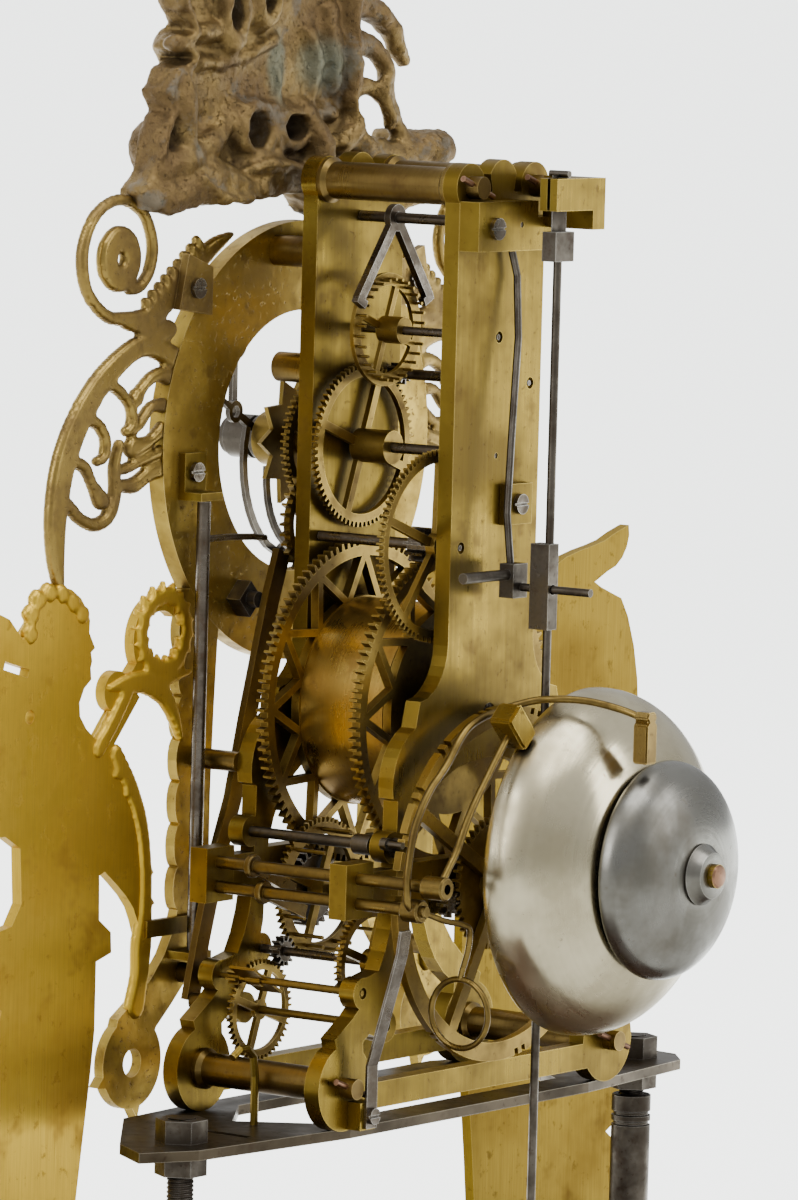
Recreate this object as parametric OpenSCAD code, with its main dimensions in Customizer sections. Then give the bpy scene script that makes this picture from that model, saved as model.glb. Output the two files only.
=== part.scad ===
/* [Base] */
// Width of the wooden plinth
plinth_w = 372; // [366:1:420]
// Depth of the wooden plinth
plinth_d = 206; // [202:1:240]
// Height of the plinth without its feet
plinth_h = 38; // [25:1:60]
// Height of the turned feet under the plinth
foot_h = 12; // [8:1:20]
// Free height of the two studs between plinth and platform
stud_free = 85; // [84:1:110]
// Diameter of the two threaded studs
stud_dia = 8; // [6:1:10]
// Thickness of the steel platform
platform_t = 3; // [2:0.5:5]
// How far the movement stands in front of the middle of the plinth
clock_back = 18.6; // [16:0.2:21]

/* [Movement frame] */
// Thickness of each brass plate
plate_t = 5.2; // [4:0.2:6]
// Gap between the two plates
plate_gap = 45.9; // [45:0.1:47]
// Half width of the straight upper part of the plates
plate_hw = 21.4; // [20:0.2:23]
// Sideways distance of the plate feet
foot_x = 66.1; // [64:0.5:68]
// Radius of the round plate feet
foot_r = 12.6; // [11:0.2:13.5]
// Diameter of the lower pillars
low_pillar_dia = 9.6; // [8:0.2:11]
// Diameter of the upper pillars
top_pillar_dia = 11; // [9:0.2:12]
// Sideways distance of the upper pillars
top_pillar_x = 16; // [14:0.5:17]
// Height of the upper pillars above the platform
top_pillar_z = 269.7; // [268:0.1:272]

/* [Trains] */
// Height of the barrel arbor above the platform
barrel_z = 116; // [115:0.2:117]
// Outer radius of the spring barrel
barrel_r = 30.5; // [28:0.5:31]
// Tooth module of the two great wheels
great_module = 0.909; // [0.9:0.001:0.912]
// Angle from the barrel to the intermediate arbor
inter_angle = 71.7; // [70:0.1:73]
// Angle from the barrel to the pin wheel arbor
pin_angle = -68; // [-68.5:0.1:-67.5]
// Tooth module of the intermediate wheel
inter_module = 0.655; // [0.65:0.001:0.66]
// Tooth module of the centre wheel
centre_module = 0.655; // [0.65:0.001:0.66]
// Angle from the centre arbor to the third arbor
third_angle = 127.9; // [125:0.1:130]
// Tooth module of the third wheel
third_module = 0.56; // [0.55:0.001:0.57]
// Radius of the circle of pins on the escape wheel
pin_circle_r = 14.9; // [14:0.1:15.2]
// Height of the pallet arbor above the escape arbor
pallet_rise = 33; // [32:0.2:34]
// Clearance between a pivot and its hole
pivot_clear = 0.05; // [0.02:0.01:0.1]

/* [Dial and hands] */
// Outer radius of the cast dial ring
ring_r = 65.2; // [63:0.2:67]
// Inner radius of the cast dial ring
ring_hole_r = 38.7; // [37:0.1:40]
// Thickness of the cast dial ring
ring_t = 5.5; // [4:0.5:6]
// Distance from the front plate to the back of the dial ring
ring_gap = 15.8; // [15:0.1:17]
// Length of the hour hand
hour_hand_len = 33; // [28:1:34]
// Length of the minute hand
minute_hand_len = 56; // [48:1:60]
// Thickness of the sheet brass ornaments
sheet_t = 3.4; // [2.6:0.2:4]

/* [Bells and pendulum] */
// Radius of the large bell
big_bell_r = 51; // [48:0.5:52]
// Radius of the small bell
small_bell_r = 32; // [29:0.5:33]
// Wall of both bells
bell_wall = 1.8; // [1.4:0.1:2.4]
// Height of the bell post above the platform
bell_z = 74; // [73:0.2:75]
// Sideways distance of the bell post
bell_x = -12; // [-13:0.2:-11]
// Length of the pendulum from its bend to the middle of the bob
pendulum_len = 325; // [318:1:326]
// Radius of the pendulum bob
bob_r = 17; // [14:0.5:18]

/* [Hidden] */
$fn = 48;
fine = 96;

brass = "#a08334";
gilt = "#b8923a";
steel = "#4d4a45";
bell_metal = "#a9a69a";
dark_wood = "#2a1d14";
bronze = "#6f5330";
copper = "#8d5a3f";

base_h = foot_h + plinth_h;
platform_top = base_h + stud_free + platform_t;
front_face = -plate_gap / 2;
back_in = plate_gap;
back_out = plate_gap + plate_t;
front_out = -plate_t;
touch = 0.02;
gap = 0.3;
eps = 0.01;

great_teeth = 104;
great_leaves = 10;
inter_teeth = 84;
centre_leaves = 10;
centre_teeth = 72;
third_leaves = 8;
third_teeth = 70;
escape_leaves = 6;
escape_pins = 30;
pin_leaves = 24;
strike_teeth = 62;
strike_leaves = 12;
strike_module = 0.66;
warning_teeth = 56;
warning_leaves = 8;
warning_module = 0.57;
fly_teeth = 48;
fly_leaves = 6;
fly_module = 0.596;
count_teeth = 45;
count_leaves = 8;
cannon_teeth = 15;
minute_teeth = 36;
minute_leaves = 12;
hour_teeth = 60;
hour_module = 0.655;

great_dist = great_module * (great_teeth + great_leaves) / 2;
inter_dist = inter_module * (inter_teeth + centre_leaves) / 2;
third_dist = centre_module * (centre_teeth + third_leaves) / 2;
escape_dist = third_module * (third_teeth + escape_leaves) / 2;
hour_dist = hour_module * (hour_teeth + minute_leaves) / 2;
minute_module = 2 * hour_dist / (cannon_teeth + minute_teeth);
pin_dist = great_module * (great_teeth + pin_leaves) / 2;
strike_dist = strike_module * (strike_teeth + strike_leaves) / 2;
warning_dist = warning_module * (warning_teeth + warning_leaves) / 2;
fly_dist = fly_module * (fly_teeth + fly_leaves) / 2;

function polar(p, r, a) = [p[0] + r * cos(a), p[1] + r * sin(a)];
function heading(p, q) = atan2(q[1] - p[1], q[0] - p[0]);
function span(p, q) = norm([q[0] - p[0], q[1] - p[1]]);
function above(p, r) = [0, p[1] + sqrt(r * r - p[0] * p[0])];

barrel_p = [0, barrel_z];
inter_p = polar(barrel_p, great_dist, inter_angle);
centre_p = above(inter_p, inter_dist);
third_p = polar(centre_p, third_dist, third_angle);
escape_p = above(third_p, escape_dist);
pallet_p = [0, escape_p[1] + pallet_rise];
pin_p = polar(barrel_p, pin_dist, pin_angle);
strike_p = polar(pin_p, strike_dist, -43.9);
warning_p = polar(strike_p, warning_dist, -66.9);
fly_p = polar(warning_p, fly_dist, 42);
minute_p = polar(centre_p, hour_dist, -75);
detent_p = [45.8, 80.2];
hammer_a = [62, 72.6];
hammer_b = [62, 65.4];
count_p = [0, 66.5];
count_module = 2 * span(pin_p, count_p) / (count_teeth + count_leaves);
bell_p = [bell_x, bell_z];

function mesh(phi, turn, teeth, leaves) =
  phi + 180 + (phi - turn) * teeth / leaves + 180 / leaves;
inter_turn = mesh(heading(barrel_p, inter_p), 0, great_teeth, great_leaves);
inter_wheel_turn = 0;
centre_turn = mesh(heading(inter_p, centre_p), inter_wheel_turn, inter_teeth, centre_leaves);
third_turn = mesh(heading(centre_p, third_p), 0, centre_teeth, third_leaves);
escape_turn = mesh(heading(third_p, escape_p), 0, third_teeth, escape_leaves);
pin_turn = mesh(heading(barrel_p, pin_p), 0, great_teeth, pin_leaves);
strike_turn = mesh(heading(pin_p, strike_p), 0, strike_teeth, strike_leaves);
warning_turn = mesh(heading(strike_p, warning_p), 0, warning_teeth, warning_leaves);
fly_turn = mesh(heading(warning_p, fly_p), 0, fly_teeth, fly_leaves);
minute_turn = mesh(heading(centre_p, minute_p), 0, cannon_teeth, minute_teeth);
hour_turn = mesh(heading(minute_p, centre_p), 0, minute_leaves, hour_teeth);
count_turn = mesh(heading(pin_p, count_p), 0, count_leaves, count_teeth);

// Axes: x to the clock's right, y to its back, z up. Inside clock() y is zero
// midway between the plates and z is zero on top of the platform. Depths d run
// backwards from the inner face of the front plate.
module clock() translate([0, -clock_back, platform_top]) children();
module upright(d0, d1)
  translate([0, front_face + d1, 0]) rotate([90, 0, 0]) linear_extrude(d1 - d0) children();
module shaft(p, d0, d1, r)
  translate([p[0], front_face + d0, p[1]]) rotate([-90, 0, 0]) cylinder(h = d1 - d0, r = r);
module cone(p, d0, d1, r0, r1)
  translate([p[0], front_face + d0, p[1]]) rotate([-90, 0, 0])
    cylinder(h = d1 - d0, r1 = r0, r2 = r1, $fn = 32);
module turned(p, d0)
  translate([p[0], front_face + d0, p[1]]) rotate([-90, 0, 0]) rotate_extrude($fn = fine) children();

function arc(c, r, a0, a1, n) = [for (i = [0:n]) polar(c, r, a0 + (a1 - a0) * i / n)];
function bend(a, b, c, d, n) = [for (i = [0:n]) let (t = i / n, s = 1 - t)
  s * s * s * a + 3 * s * s * t * b + 3 * s * t * t * c + t * t * t * d];
function back(pts) = [for (i = [len(pts) - 1:-1:0]) pts[i]];
function left(pts) = [for (p = pts) [-p[0], p[1]]];
function tooth(n, m, add, ded, root, tip, turn) = [for (i = [0:n - 1])
  let (p = 360 / n, a = turn + i * p, ro = m * n / 2 - ded * m, rt = m * n / 2 + add * m)
    each [polar([0, 0], ro, a - root * p), polar([0, 0], rt, a - tip * p),
          polar([0, 0], rt, a + tip * p), polar([0, 0], ro, a + root * p)]];
module wheel_teeth(n, m, turn) polygon(tooth(n, m, 1, 1.3, 0.25, 0.12, turn));
module leaf_teeth(n, m, turn) polygon(tooth(n, m, 0.8, 1.4, 0.16, 0.13, turn));
module at(p) translate(p) children();
module bar(p, q, w)
  translate(p) rotate(heading(p, q)) translate([0, -w / 2]) square([span(p, q), w]);
module crossed_wheel(n, m, turn, arms, arm_w, rim, hub, bore) {
  inner = m * n / 2 - 1.3 * m - rim;
  difference() {
    wheel_teeth(n, m, turn);
    difference() {
      circle(inner, $fn = fine);
      circle(hub);
      for (i = [0:arms - 1]) rotate(i * 360 / arms + 20) translate([0, -arm_w / 2]) square([inner + 1, arm_w]);
    }
    circle(bore);
  }
}
module star_wheel(n, m, hub, bore) {
  inner = m * n / 2 - 1.3 * m - 3.2;
  points = 12;
  difference() {
    wheel_teeth(n, m, 0);
    circle(inner, $fn = fine);
  }
  difference() {
    circle(hub, $fn = fine);
    circle(bore);
  }
  for (i = [0:points - 1], s = [-0.5, 0.5])
    bar(polar([0, 0], hub - 1, (i + s) * 360 / points), polar([0, 0], inner + 1, i * 360 / points), 2.2);
}
module arbor_rod(p, r, pivot_r) {
  shaft(p, gap, back_in - gap, r);
  shaft(p, front_out + gap, back_out - gap, pivot_r);
}
// An arbor that is as thin as its pivots where a wheel passes close to it
module necked_rod(p, r, d0, d1) {
  shaft(p, d0, d1, r);
  shaft(p, front_out + gap, back_out - gap, pivot_r);
}
module pinion(p, d0, d1, n, m, turn, bore)
  upright(d0, d1) at(p) difference() {
    leaf_teeth(n, m, turn);
    if (bore > 0) circle(bore);
  }

// A tube of n sides swept along a route of [x, y, z] points
function unit(v) = v / norm(v);
function along(pts, i) = unit(pts[min(i + 1, len(pts) - 1)] - pts[max(i - 1, 0)]);
function side_of(t) = unit(cross(t, abs(t[1]) < 0.8 ? [0, 1, 0] : [1, 0, 0]));
function ring_of(p, t, s, r, n) = let (u = unit(s - (s * t) * t), v = cross(t, u))
  [for (k = [0:n - 1]) p + r * cos(360 * k / n) * u + r * sin(360 * k / n) * v];
function frames(pts, i, s) = i >= len(pts) ? [] :
  let (t = along(pts, i), u = unit(s - (s * t) * t)) concat([u], frames(pts, i + 1, u));
module tube(pts, r, n = 8) {
  us = frames(pts, 0, side_of(along(pts, 0)));
  rings = [for (i = [0:len(pts) - 1]) ring_of(pts[i], along(pts, i), us[i], r, n)];
  last = len(pts) - 1;
  polyhedron(
    points = [for (ring = rings) each ring],
    faces = concat(
      [[for (k = [0:n - 1]) k]],
      [for (i = [0:last - 1], k = [0:n - 1]) let (a = i * n + k, b = i * n + (k + 1) % n)
        each [[a, a + n, b], [b, a + n, b + n]]],
      [[for (k = [n - 1:-1:0]) last * n + k]]));
}

pivot_r = 0.8;
barrel_pivot_r = 3;
centre_pivot_r = 1.6;
arbor_r = 1.6;
escape_rod_r = 1.3;
hammer_arbor_r = 1.8;
small_pivots = [inter_p, third_p, escape_p, strike_p, warning_p, fly_p];
ear_r = 4.6;

plate_side = concat(
  [[plate_hw, 262]],
  arc([plate_hw + 16, 137], 16, 180, 246, 6),
  [[34.2, 121.6]],
  arc([29, 98], 17.6, 66, -12, 8),
  [[43.9, 93.4], [44.2, 76.5], [44.6, 64]],
  bend([46.2, 56.4], [49, 46], [55, 36], [71.5, 27], 5),
  [[foot_x, foot_r], [57, 14]],
  bend([57.9, 25], [47, 31], [42, 40], [39.2, 53.1], 5),
  bend([38.4, 70], [37, 90], [24, 103], [0.5, 103], 8));
bridge_z0 = 59;
bridge_z1 = 75;
block_x = 55;
block_z = 69;
module plate_outline() {
  polygon(concat(left(plate_side), back(plate_side)));
  for (s = [-1, 1]) {
    translate([s * foot_x, foot_r]) circle(foot_r, $fn = fine);
    translate([s * top_pillar_x, top_pillar_z]) circle(7);
  }
  translate([0, top_pillar_z + 0.9]) circle(7);
  translate([-plate_hw, 255]) square([2 * plate_hw, 13]);
  translate([-foot_x, 5]) square([2 * foot_x, 7.6]);
  translate([-42, bridge_z0]) square([84, bridge_z1 - bridge_z0]);
  for (p = [strike_p, warning_p, fly_p, detent_p]) at(p) circle(ear_r);
  bar(warning_p, [54, 31], 2 * ear_r - 1);
  bar([50, 41], fly_p, 2 * ear_r - 1);
  translate([42, block_z - 5]) square([block_x - 42, 10]);
}
module pivot_holes(sink_d0, sink_d1) {
  for (p = small_pivots) {
    shaft(p, front_out - 1, back_out + 1, pivot_r + pivot_clear);
    shaft(p, sink_d0, sink_d1, 1.7);
  }
  shaft(barrel_p, front_out - 1, back_out + 1, barrel_pivot_r + pivot_clear);
  shaft(detent_p, front_out - 1, back_out + 1, arbor_r + pivot_clear);
  for (s = [-1, 1]) {
    shaft([s * foot_x, foot_r], front_out - 1, back_out + 1, low_pillar_dia / 2 - 1.8);
    shaft([s * top_pillar_x, top_pillar_z], front_out - 1, back_out + 1, top_pillar_dia / 2 - 2.2);
  }
}
module front_plate() color(brass) clock() difference() {
  upright(front_out, 0) plate_outline();
  pivot_holes(front_out - 1, front_out + 0.8);
  shaft(centre_p, front_out - 1, 1, centre_pivot_r + pivot_clear);
  shaft(pin_p, front_out - 1, 1, pivot_r + pivot_clear);
  shaft(pallet_p, front_out - 1, 1, pivot_r + pivot_clear);
}
module back_plate() color(brass) clock() difference() {
  upright(back_in, back_out) plate_outline();
  pivot_holes(back_out - 0.8, back_out + 1);
  shaft(centre_p, back_in - 1, back_out + 1, pivot_r + pivot_clear);
  shaft(pin_p, back_in - 1, back_out + 1, arbor_r + pivot_clear);
  shaft(pallet_p, back_in - 1, back_out + 1, arbor_r + 1);
  upright(back_in - 1, back_out + 1) for (s = [-1, 1]) translate([s * 8, 277]) rotate(s * -12)
    translate([-0.8, -9]) square([1.6, 12]);
}
module one_pillar(p, r, tail) {
  shaft(p, touch, back_in - touch, r);
  shaft(p, back_in - 1, back_out + 4.6, tail);
  shaft(p, front_out - 1.2, 1, tail);
  shaft(p, touch, 1.4, r + 1.2);
  cone(p, 1.4, 2.6, r + 1.2, r);
  cone(p, back_in - 2.6, back_in - 1.4, r, r + 1.2);
  shaft(p, back_in - 1.4, back_in - touch, r + 1.2);
}
pin_r = 0.9;
module pillars() color(brass) clock() difference() {
  for (s = [-1, 1]) {
    one_pillar([s * foot_x, foot_r], low_pillar_dia / 2, low_pillar_dia / 2 - 1.8 - touch);
    one_pillar([s * top_pillar_x, top_pillar_z], top_pillar_dia / 2, top_pillar_dia / 2 - 2.2 - touch);
  }
  for (s = [-1, 1], p = [[foot_x, foot_r], [top_pillar_x, top_pillar_z]])
    pin_place([s * p[0], p[1]]) cylinder(h = 20, r = pin_r + touch, center = true);
}
module pin_place(p)
  translate([p[0], front_face + back_out + 2.4, p[1]]) rotate([0, 70, 0]) children();
module taper_pins() color(copper) clock()
  for (s = [-1, 1], p = [[foot_x, foot_r], [top_pillar_x, top_pillar_z]])
    pin_place([s * p[0], p[1]]) translate([0, 0, -8]) cylinder(h = 16, r = pin_r);

module plinth() color(dark_wood) {
  step = 7;
  difference() {
    union() {
      translate([-plinth_w / 2, -plinth_d / 2, foot_h]) cube([plinth_w, plinth_d, plinth_h * 0.3]);
      translate([-plinth_w / 2 + step, -plinth_d / 2 + step, foot_h])
        cube([plinth_w - 2 * step, plinth_d - 2 * step, plinth_h * 0.8]);
      translate([-plinth_w / 2 + step / 2, -plinth_d / 2 + step / 2, foot_h + plinth_h * 0.75])
        cube([plinth_w - step, plinth_d - step, plinth_h * 0.25]);
    }
    for (s = [-1, 1]) stud_place(s) translate([0, 0, foot_h - 1])
      cylinder(h = plinth_h + 2, r = stud_dia / 2 + touch);
    for (s = [-1, 1]) stud_place(s) translate([0, 0, foot_h - 1]) cylinder(h = 9, r = 10);
  }
}
module plinth_feet() color(gilt)
  for (x = [-1, 1], y = [-1, 1])
    translate([x * (plinth_w / 2 - 24), y * (plinth_d / 2 - 24), 0]) rotate_extrude($fn = 48)
      polygon([[0, 0], [9, 0], [11, 2], [14, foot_h * 0.5], [12, foot_h * 0.8], [10, foot_h], [0, foot_h]]);
stud_x = 113;
stud_y = 5.6;
module stud_place(s) translate([s * stud_x, stud_y - clock_back, 0]) children();
platform_front = 33;
platform_back = 26;
module platform() color(steel) clock() translate([0, 0, -platform_t]) difference() {
  linear_extrude(platform_t) difference() {
    polygon([[-129, -4], [-110, -14], [-60, -platform_front], [60, -platform_front], [93, -31],
      [129, -4], [138, 10], [122, 19], [60, platform_back], [-60, platform_back], [-118, 20], [-127, 12]]);
    polygon([[-50, -22], [50, -22], [74, -6], [60, 14], [-60, 14], [-74, -6]]);
    translate([92, -7]) square([3, 22]);
  }
  for (s = [-1, 1]) translate([s * stud_x, stud_y, -1]) cylinder(h = platform_t + 2, r = stud_dia / 2 + touch);
}
nut_h = 6.5;
nut_af = 13;
module studs() color(steel)
  for (s = [-1, 1]) stud_place(s) {
    translate([0, 0, foot_h + 1]) cylinder(h = platform_top - foot_h + 6, r = stud_dia / 2);
    if (s < 0) translate([0, 0, base_h]) difference() {
      cylinder(h = stud_free - nut_h - 2, r = stud_dia / 2 + 2);
      translate([0, 0, -1]) cylinder(h = stud_free, r = stud_dia / 2 - eps);
      for (z = [8, 5]) translate([0, 0, stud_free - nut_h - z]) rotate_extrude($fn = 48)
        translate([stud_dia / 2 + 1.4, 0]) square([2, 1]);
    }
  }
module nut(h) difference() {
  cylinder(h = h, r = nut_af / sqrt(3), $fn = 6);
  translate([0, 0, -1]) cylinder(h = h + 2, r = stud_dia / 2 + touch);
}
module nuts_and_bolts() color(steel) {
  for (s = [-1, 1]) stud_place(s) {
    translate([0, 0, platform_top]) nut(nut_h);
    translate([0, 0, platform_top - platform_t - nut_h]) nut(nut_h);
    translate([0, 0, foot_h + 8 - nut_h]) nut(nut_h);
    if (s > 0) translate([0, 0, base_h]) nut(nut_h);
  }
  clock() for (s = [-1, 1]) {
    difference() {
      translate([s * foot_x, front_face + front_out - touch, foot_r]) rotate([90, 0, 0])
        cylinder(h = 4.8, r = 6.4, $fn = 6);
      shaft([s * foot_x, foot_r], front_out - 3, front_out, low_pillar_dia / 2 - 1.8);
    }
    translate([s * 28, front_face + ring_d1 + touch, 146]) rotate([-90, 0, 0])
      cylinder(h = 5, r = 5.4, $fn = 4);
    translate([s * 28, front_face + ring_d1 + 4, 146]) rotate([-90, 0, 0])
      cylinder(h = 4, r = 2.4);
  }
}

ring_d1 = front_out - ring_gap;
ring_d0 = ring_d1 - ring_t;
dial_pillar_p = [12.6, centre_p[1] + ring_r - 8.53];
leg_pillar_p = [[45.6, 100], [50.6, 37]];
minute_stud_r = 1.2;
lever_p = [-9, 156.4];
lever_stud_r = 1.2;
lever_hub_r = 2;
lever_d0 = -33.2;
module dial_ring() color(gilt) clock() upright(ring_d0, ring_d1) difference() {
  at(centre_p) circle(ring_r, $fn = 128);
  at(centre_p) circle(ring_hole_r, $fn = 128);
}
chapter_d0 = ring_d0 - 2.6;
module chapter_ring() color("#e9e4d4") clock() upright(chapter_d0, ring_d0) difference() {
  at(centre_p) circle(ring_r - 4, $fn = 128);
  at(centre_p) circle(ring_hole_r + 3, $fn = 128);
}
module dial_pillars() color(brass) clock() {
  for (s = [-1, 1]) {
    shaft([s * dial_pillar_p[0], dial_pillar_p[1]], ring_d1, front_out, 4.6);
    for (p = leg_pillar_p) shaft([s * p[0], p[1]], ring_d1, front_out, 3);
  }
  shaft([15, 214], front_out - 12, front_out, 4.4);
  shaft(minute_p, front_out - 0.9, front_out, 2.6);
  shaft(minute_p, front_out - 8.4, front_out, minute_stud_r);
  shaft(lever_p, lever_d0 - 1.2, front_out, lever_stud_r);
}

// A strip of one width that follows a route in the plane of the plates
function normal_at(pts, i) = let (t = pts[min(i + 1, len(pts) - 1)] - pts[max(i - 1, 0)])
  [-t[1], t[0]] / norm(t);
function band(pts, w) = concat(
  [for (i = [0:len(pts) - 1]) pts[i] + normal_at(pts, i) * w / 2],
  [for (i = [len(pts) - 1:-1:0]) pts[i] - normal_at(pts, i) * w / 2]);
function wire(route) = [for (p = route) [p[0], front_face + p[1], p[2]]];
module screw(p, d, r) translate([p[0], front_face + d, p[1]]) rotate([-90, 0, 0]) difference() {
  union() {
    translate([0, 0, touch]) cylinder(h = 1.4, r = r);
    translate([0, 0, touch - screw_shank]) cylinder(h = screw_shank + 1, r = screw_r);
  }
  translate([-r - 1, -0.35, 0.8]) cube([2 * r + 2, 0.7, 2]);
}
screw_r = 1.4;
screw_shank = 1.9;
module screw_hole(p, d) shaft(p, d - screw_shank - 0.4, d + 1, screw_r + touch);

// Cast and cut ornaments of the front frame, drawn for one side and mirrored
leg_disc = [73, 12.5];
module leg_shape() difference() {
  union() {
    polygon(concat(
      bend([36, 150], [38, 120], [40, 80], [38, 60], 8),
      bend([38, 60], [36, 44], [48, 34], [62, 22], 6),
      [[70, 8], [82, 20]],
      bend([80, 26], [62, 36], [51, 48], [52, 66], 6),
      bend([52, 66], [54, 90], [52, 118], [55, 150], 6)));
    at(leg_disc) circle(13.6, $fn = fine);
    for (i = [0:6]) translate([52.6, 62 + i * 12.6])
      polygon([for (a = [0:20:340]) [2.8 * cos(a), 6.6 * sin(a)]]);
    for (a = [-100, -20, 95]) at(leg_disc) rotate(a) polygon([[12, -2.5], [17, 0], [12, 2.5]]);
  }
  at(leg_disc) circle(4.2);
  at(centre_p) circle(ring_r + touch, $fn = 128);
}
module frame_legs() color(gilt) clock() upright(ring_d1 - sheet_t, ring_d1)
  for (s = [0, 1]) mirror([s, 0, 0]) leg_shape();

volute_p = [86, 247];
volute_r = 19;
curl_p = [[98, 201], [88, 208], [97, 184], [105, 172]];
leaf_tip_z = 155.4;
lug_t = 2.4;
lug_screw = [54, 238];
module scroll_shape() {
  difference() {
    union() {
      polygon(concat(arc(volute_p, volute_r, -120, 150, 24), arc(volute_p, 14, 150, -100, 24)));
      polygon(back(concat(arc(centre_p, ring_r - 1, 22, 44, 8),
        [[47, 249], [52, 249], [55, 244], [61, 243], [64, 236], [70, 235], [73, 230], [84, 231]])));
      polygon(back(concat(bend([62, 214], [72, 214], [74, 224], [80, 234], 4),
        bend([82, 226], [100, 220], [118, 198], [117, leaf_tip_z], 10),
        bend([113, leaf_tip_z], [108, 176], [96, 200], [80, 208], 8))));
      for (p = curl_p) at(p) circle(6.4, $fn = 32);
      bar([60, 208], [88, 206], 7);
    }
    for (p = curl_p) at(p) circle(3, $fn = 24);
    at(centre_p) circle(ring_r + touch, $fn = 128);
  }
  at(volute_p) difference() {
    circle(10.4);
    circle(1.6);
  }
  polygon(concat([for (i = [0:8]) polar(volute_p, volute_r - i, 148 + i * 14)],
    [for (i = [8:-1:0]) polar(volute_p, 14 - i * 0.6, 148 + i * 14)]));
}
module side_scrolls() color(gilt) clock() for (s = [0, 1]) mirror([s, 0, 0]) {
  upright(ring_d1 - sheet_t, ring_d1) scroll_shape();
  difference() {
    upright(ring_d1 + touch, ring_d1 + lug_t) polygon([[46.4, 230], [62, 232], [58, 248], [46.4, 244]]);
    screw_hole(lug_screw, ring_d1 + lug_t);
  }
}

stand_z = -(stud_free + platform_t) + touch;
wreath_p = [64, 136];
module figure_shape() difference() {
  union() {
    polygon(concat(
      bend([121, 151], [118, 156], [104, 156], [98.4, 146], 6),
      [[97.4, 143.5], [97.6, 140], [94.8, 135.4], [96.6, 134.2], [96, 131.6], [96.6, 129.8],
        [96.2, 126.4], [99.4, 124], [101.4, 120]],
      bend([101, 116], [98, 110], [90, 108], [86, 103], 4),
      bend([84, 99], [76, 92], [70, 80], [67, 66], 5),
      [[65.4, 57], [65.6, 46], [68.4, 45]],
      bend([72, 54], [74, 60], [80, 64], [88, 70], 4),
      [[90.4, 69], [90, 56], [84.4, 52], [84, 46], [91, 44]],
      bend([91, 24], [93, 4], [98, -20], [101, -50], 6),
      [[98, -66], [100, -78], [92, stand_z + 4], [90, stand_z], [180, stand_z], [182, -78]],
      bend([178, -62], [186, -54], [182, -40], [172, -36], 4),
      bend([184, -30], [182, -14], [166, -6], [160, -12], 4),
      bend([152, -4], [146, 8], [136, 20], [134, 34], 5),
      [[146, 40], [150, 50], [141, 56], [130, 58], [126, 64], [127, 80], [134, 84]],
      bend([142, 84], [146, 62], [160, 52], [168, 50], 5),
      bend([178, 60], [186, 84], [185, 110], [176, 128], 6),
      bend([172, 134], [164, 137], [160, 138], [157, 140], 3),
      bend([164, 143], [172, 144], [177, 152], [175, 157], 5),
      bend([168, 155], [158, 150], [146, 152], [134, 146], 5),
      [[128, 140], [124, 144]]));
    bar([92, 104], [76, 122], 7);
    bar([78, 122], wreath_p, 7);
    at([84, 122]) circle(6, $fn = 24);
    at(wreath_p) circle(13);
  }
  at(wreath_p) circle(8.3);
  at([124, 117.5]) circle(2, $fn = 24);
  bar([125, 130], [136, 133], 2.4);
}
module figure() color(gilt) clock() upright(ring_d1 - sheet_t, ring_d1) difference() {
  figure_shape();
  translate([30, 40]) square([28.4, 108]);
  at(leg_disc) circle(17.6);
}
module right_figure() figure();
module left_figure() mirror([1, 0, 0]) figure();

crest_d0 = ring_d0 - 4;
crest_d1 = ring_d1 + 6;
crest_top = 346;
module crest() color(bronze) clock() {
  upright(crest_d0, crest_d1) difference() {
    polygon(concat(
      [[-70, 256], [-71, 266]],
      bend([-60, 270], [-52, 288], [-56, 296], [-46, 302], 4),
      bend([-42, 312], [-36, 326], [-24, 336], [-12, crest_top - 2], 6),
      bend([0, crest_top + 1], [14, crest_top], [30, 340], [44, 328], 5),
      bend([56, 320], [60, 310], [58, 300], [66, 292], 5),
      bend([74, 284], [84, 276], [80, 262], [78, 256], 4),
      [[16, 263], [14, 250], [-44, 232]]));
    at(centre_p) circle(ring_r + touch, $fn = 128);
    for (s = [-1, 1]) {
      translate([s * 74.6, 241]) square([60, 30], center = true);
      translate([s * volute_p[0], volute_p[1]]) circle(volute_r + gap);
    }
    for (x = [8, 26]) translate([x, 276]) {
      circle(6);
      translate([-6, -6]) square([12, 6]);
    }
    for (p = [[-44, 288], [-30, 312], [56, 292]]) at(p) circle(5);
  }
  for (p = [[0, 318, 15], [34, 304, 13], [-24, 300, 13], [58, 276, 10], [-52, 272, 10], [-4, 290, 11]])
    translate([p[0], front_face + crest_d0, p[1]]) sphere(p[2], $fn = 40);
  for (p = [[12, 322, 10], [-20, 318, 10], [40, 288, 9], [-36, 284, 8]])
    translate([p[0], front_face + crest_d1 - 2, p[1]]) sphere(p[2], $fn = 40);
}

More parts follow.
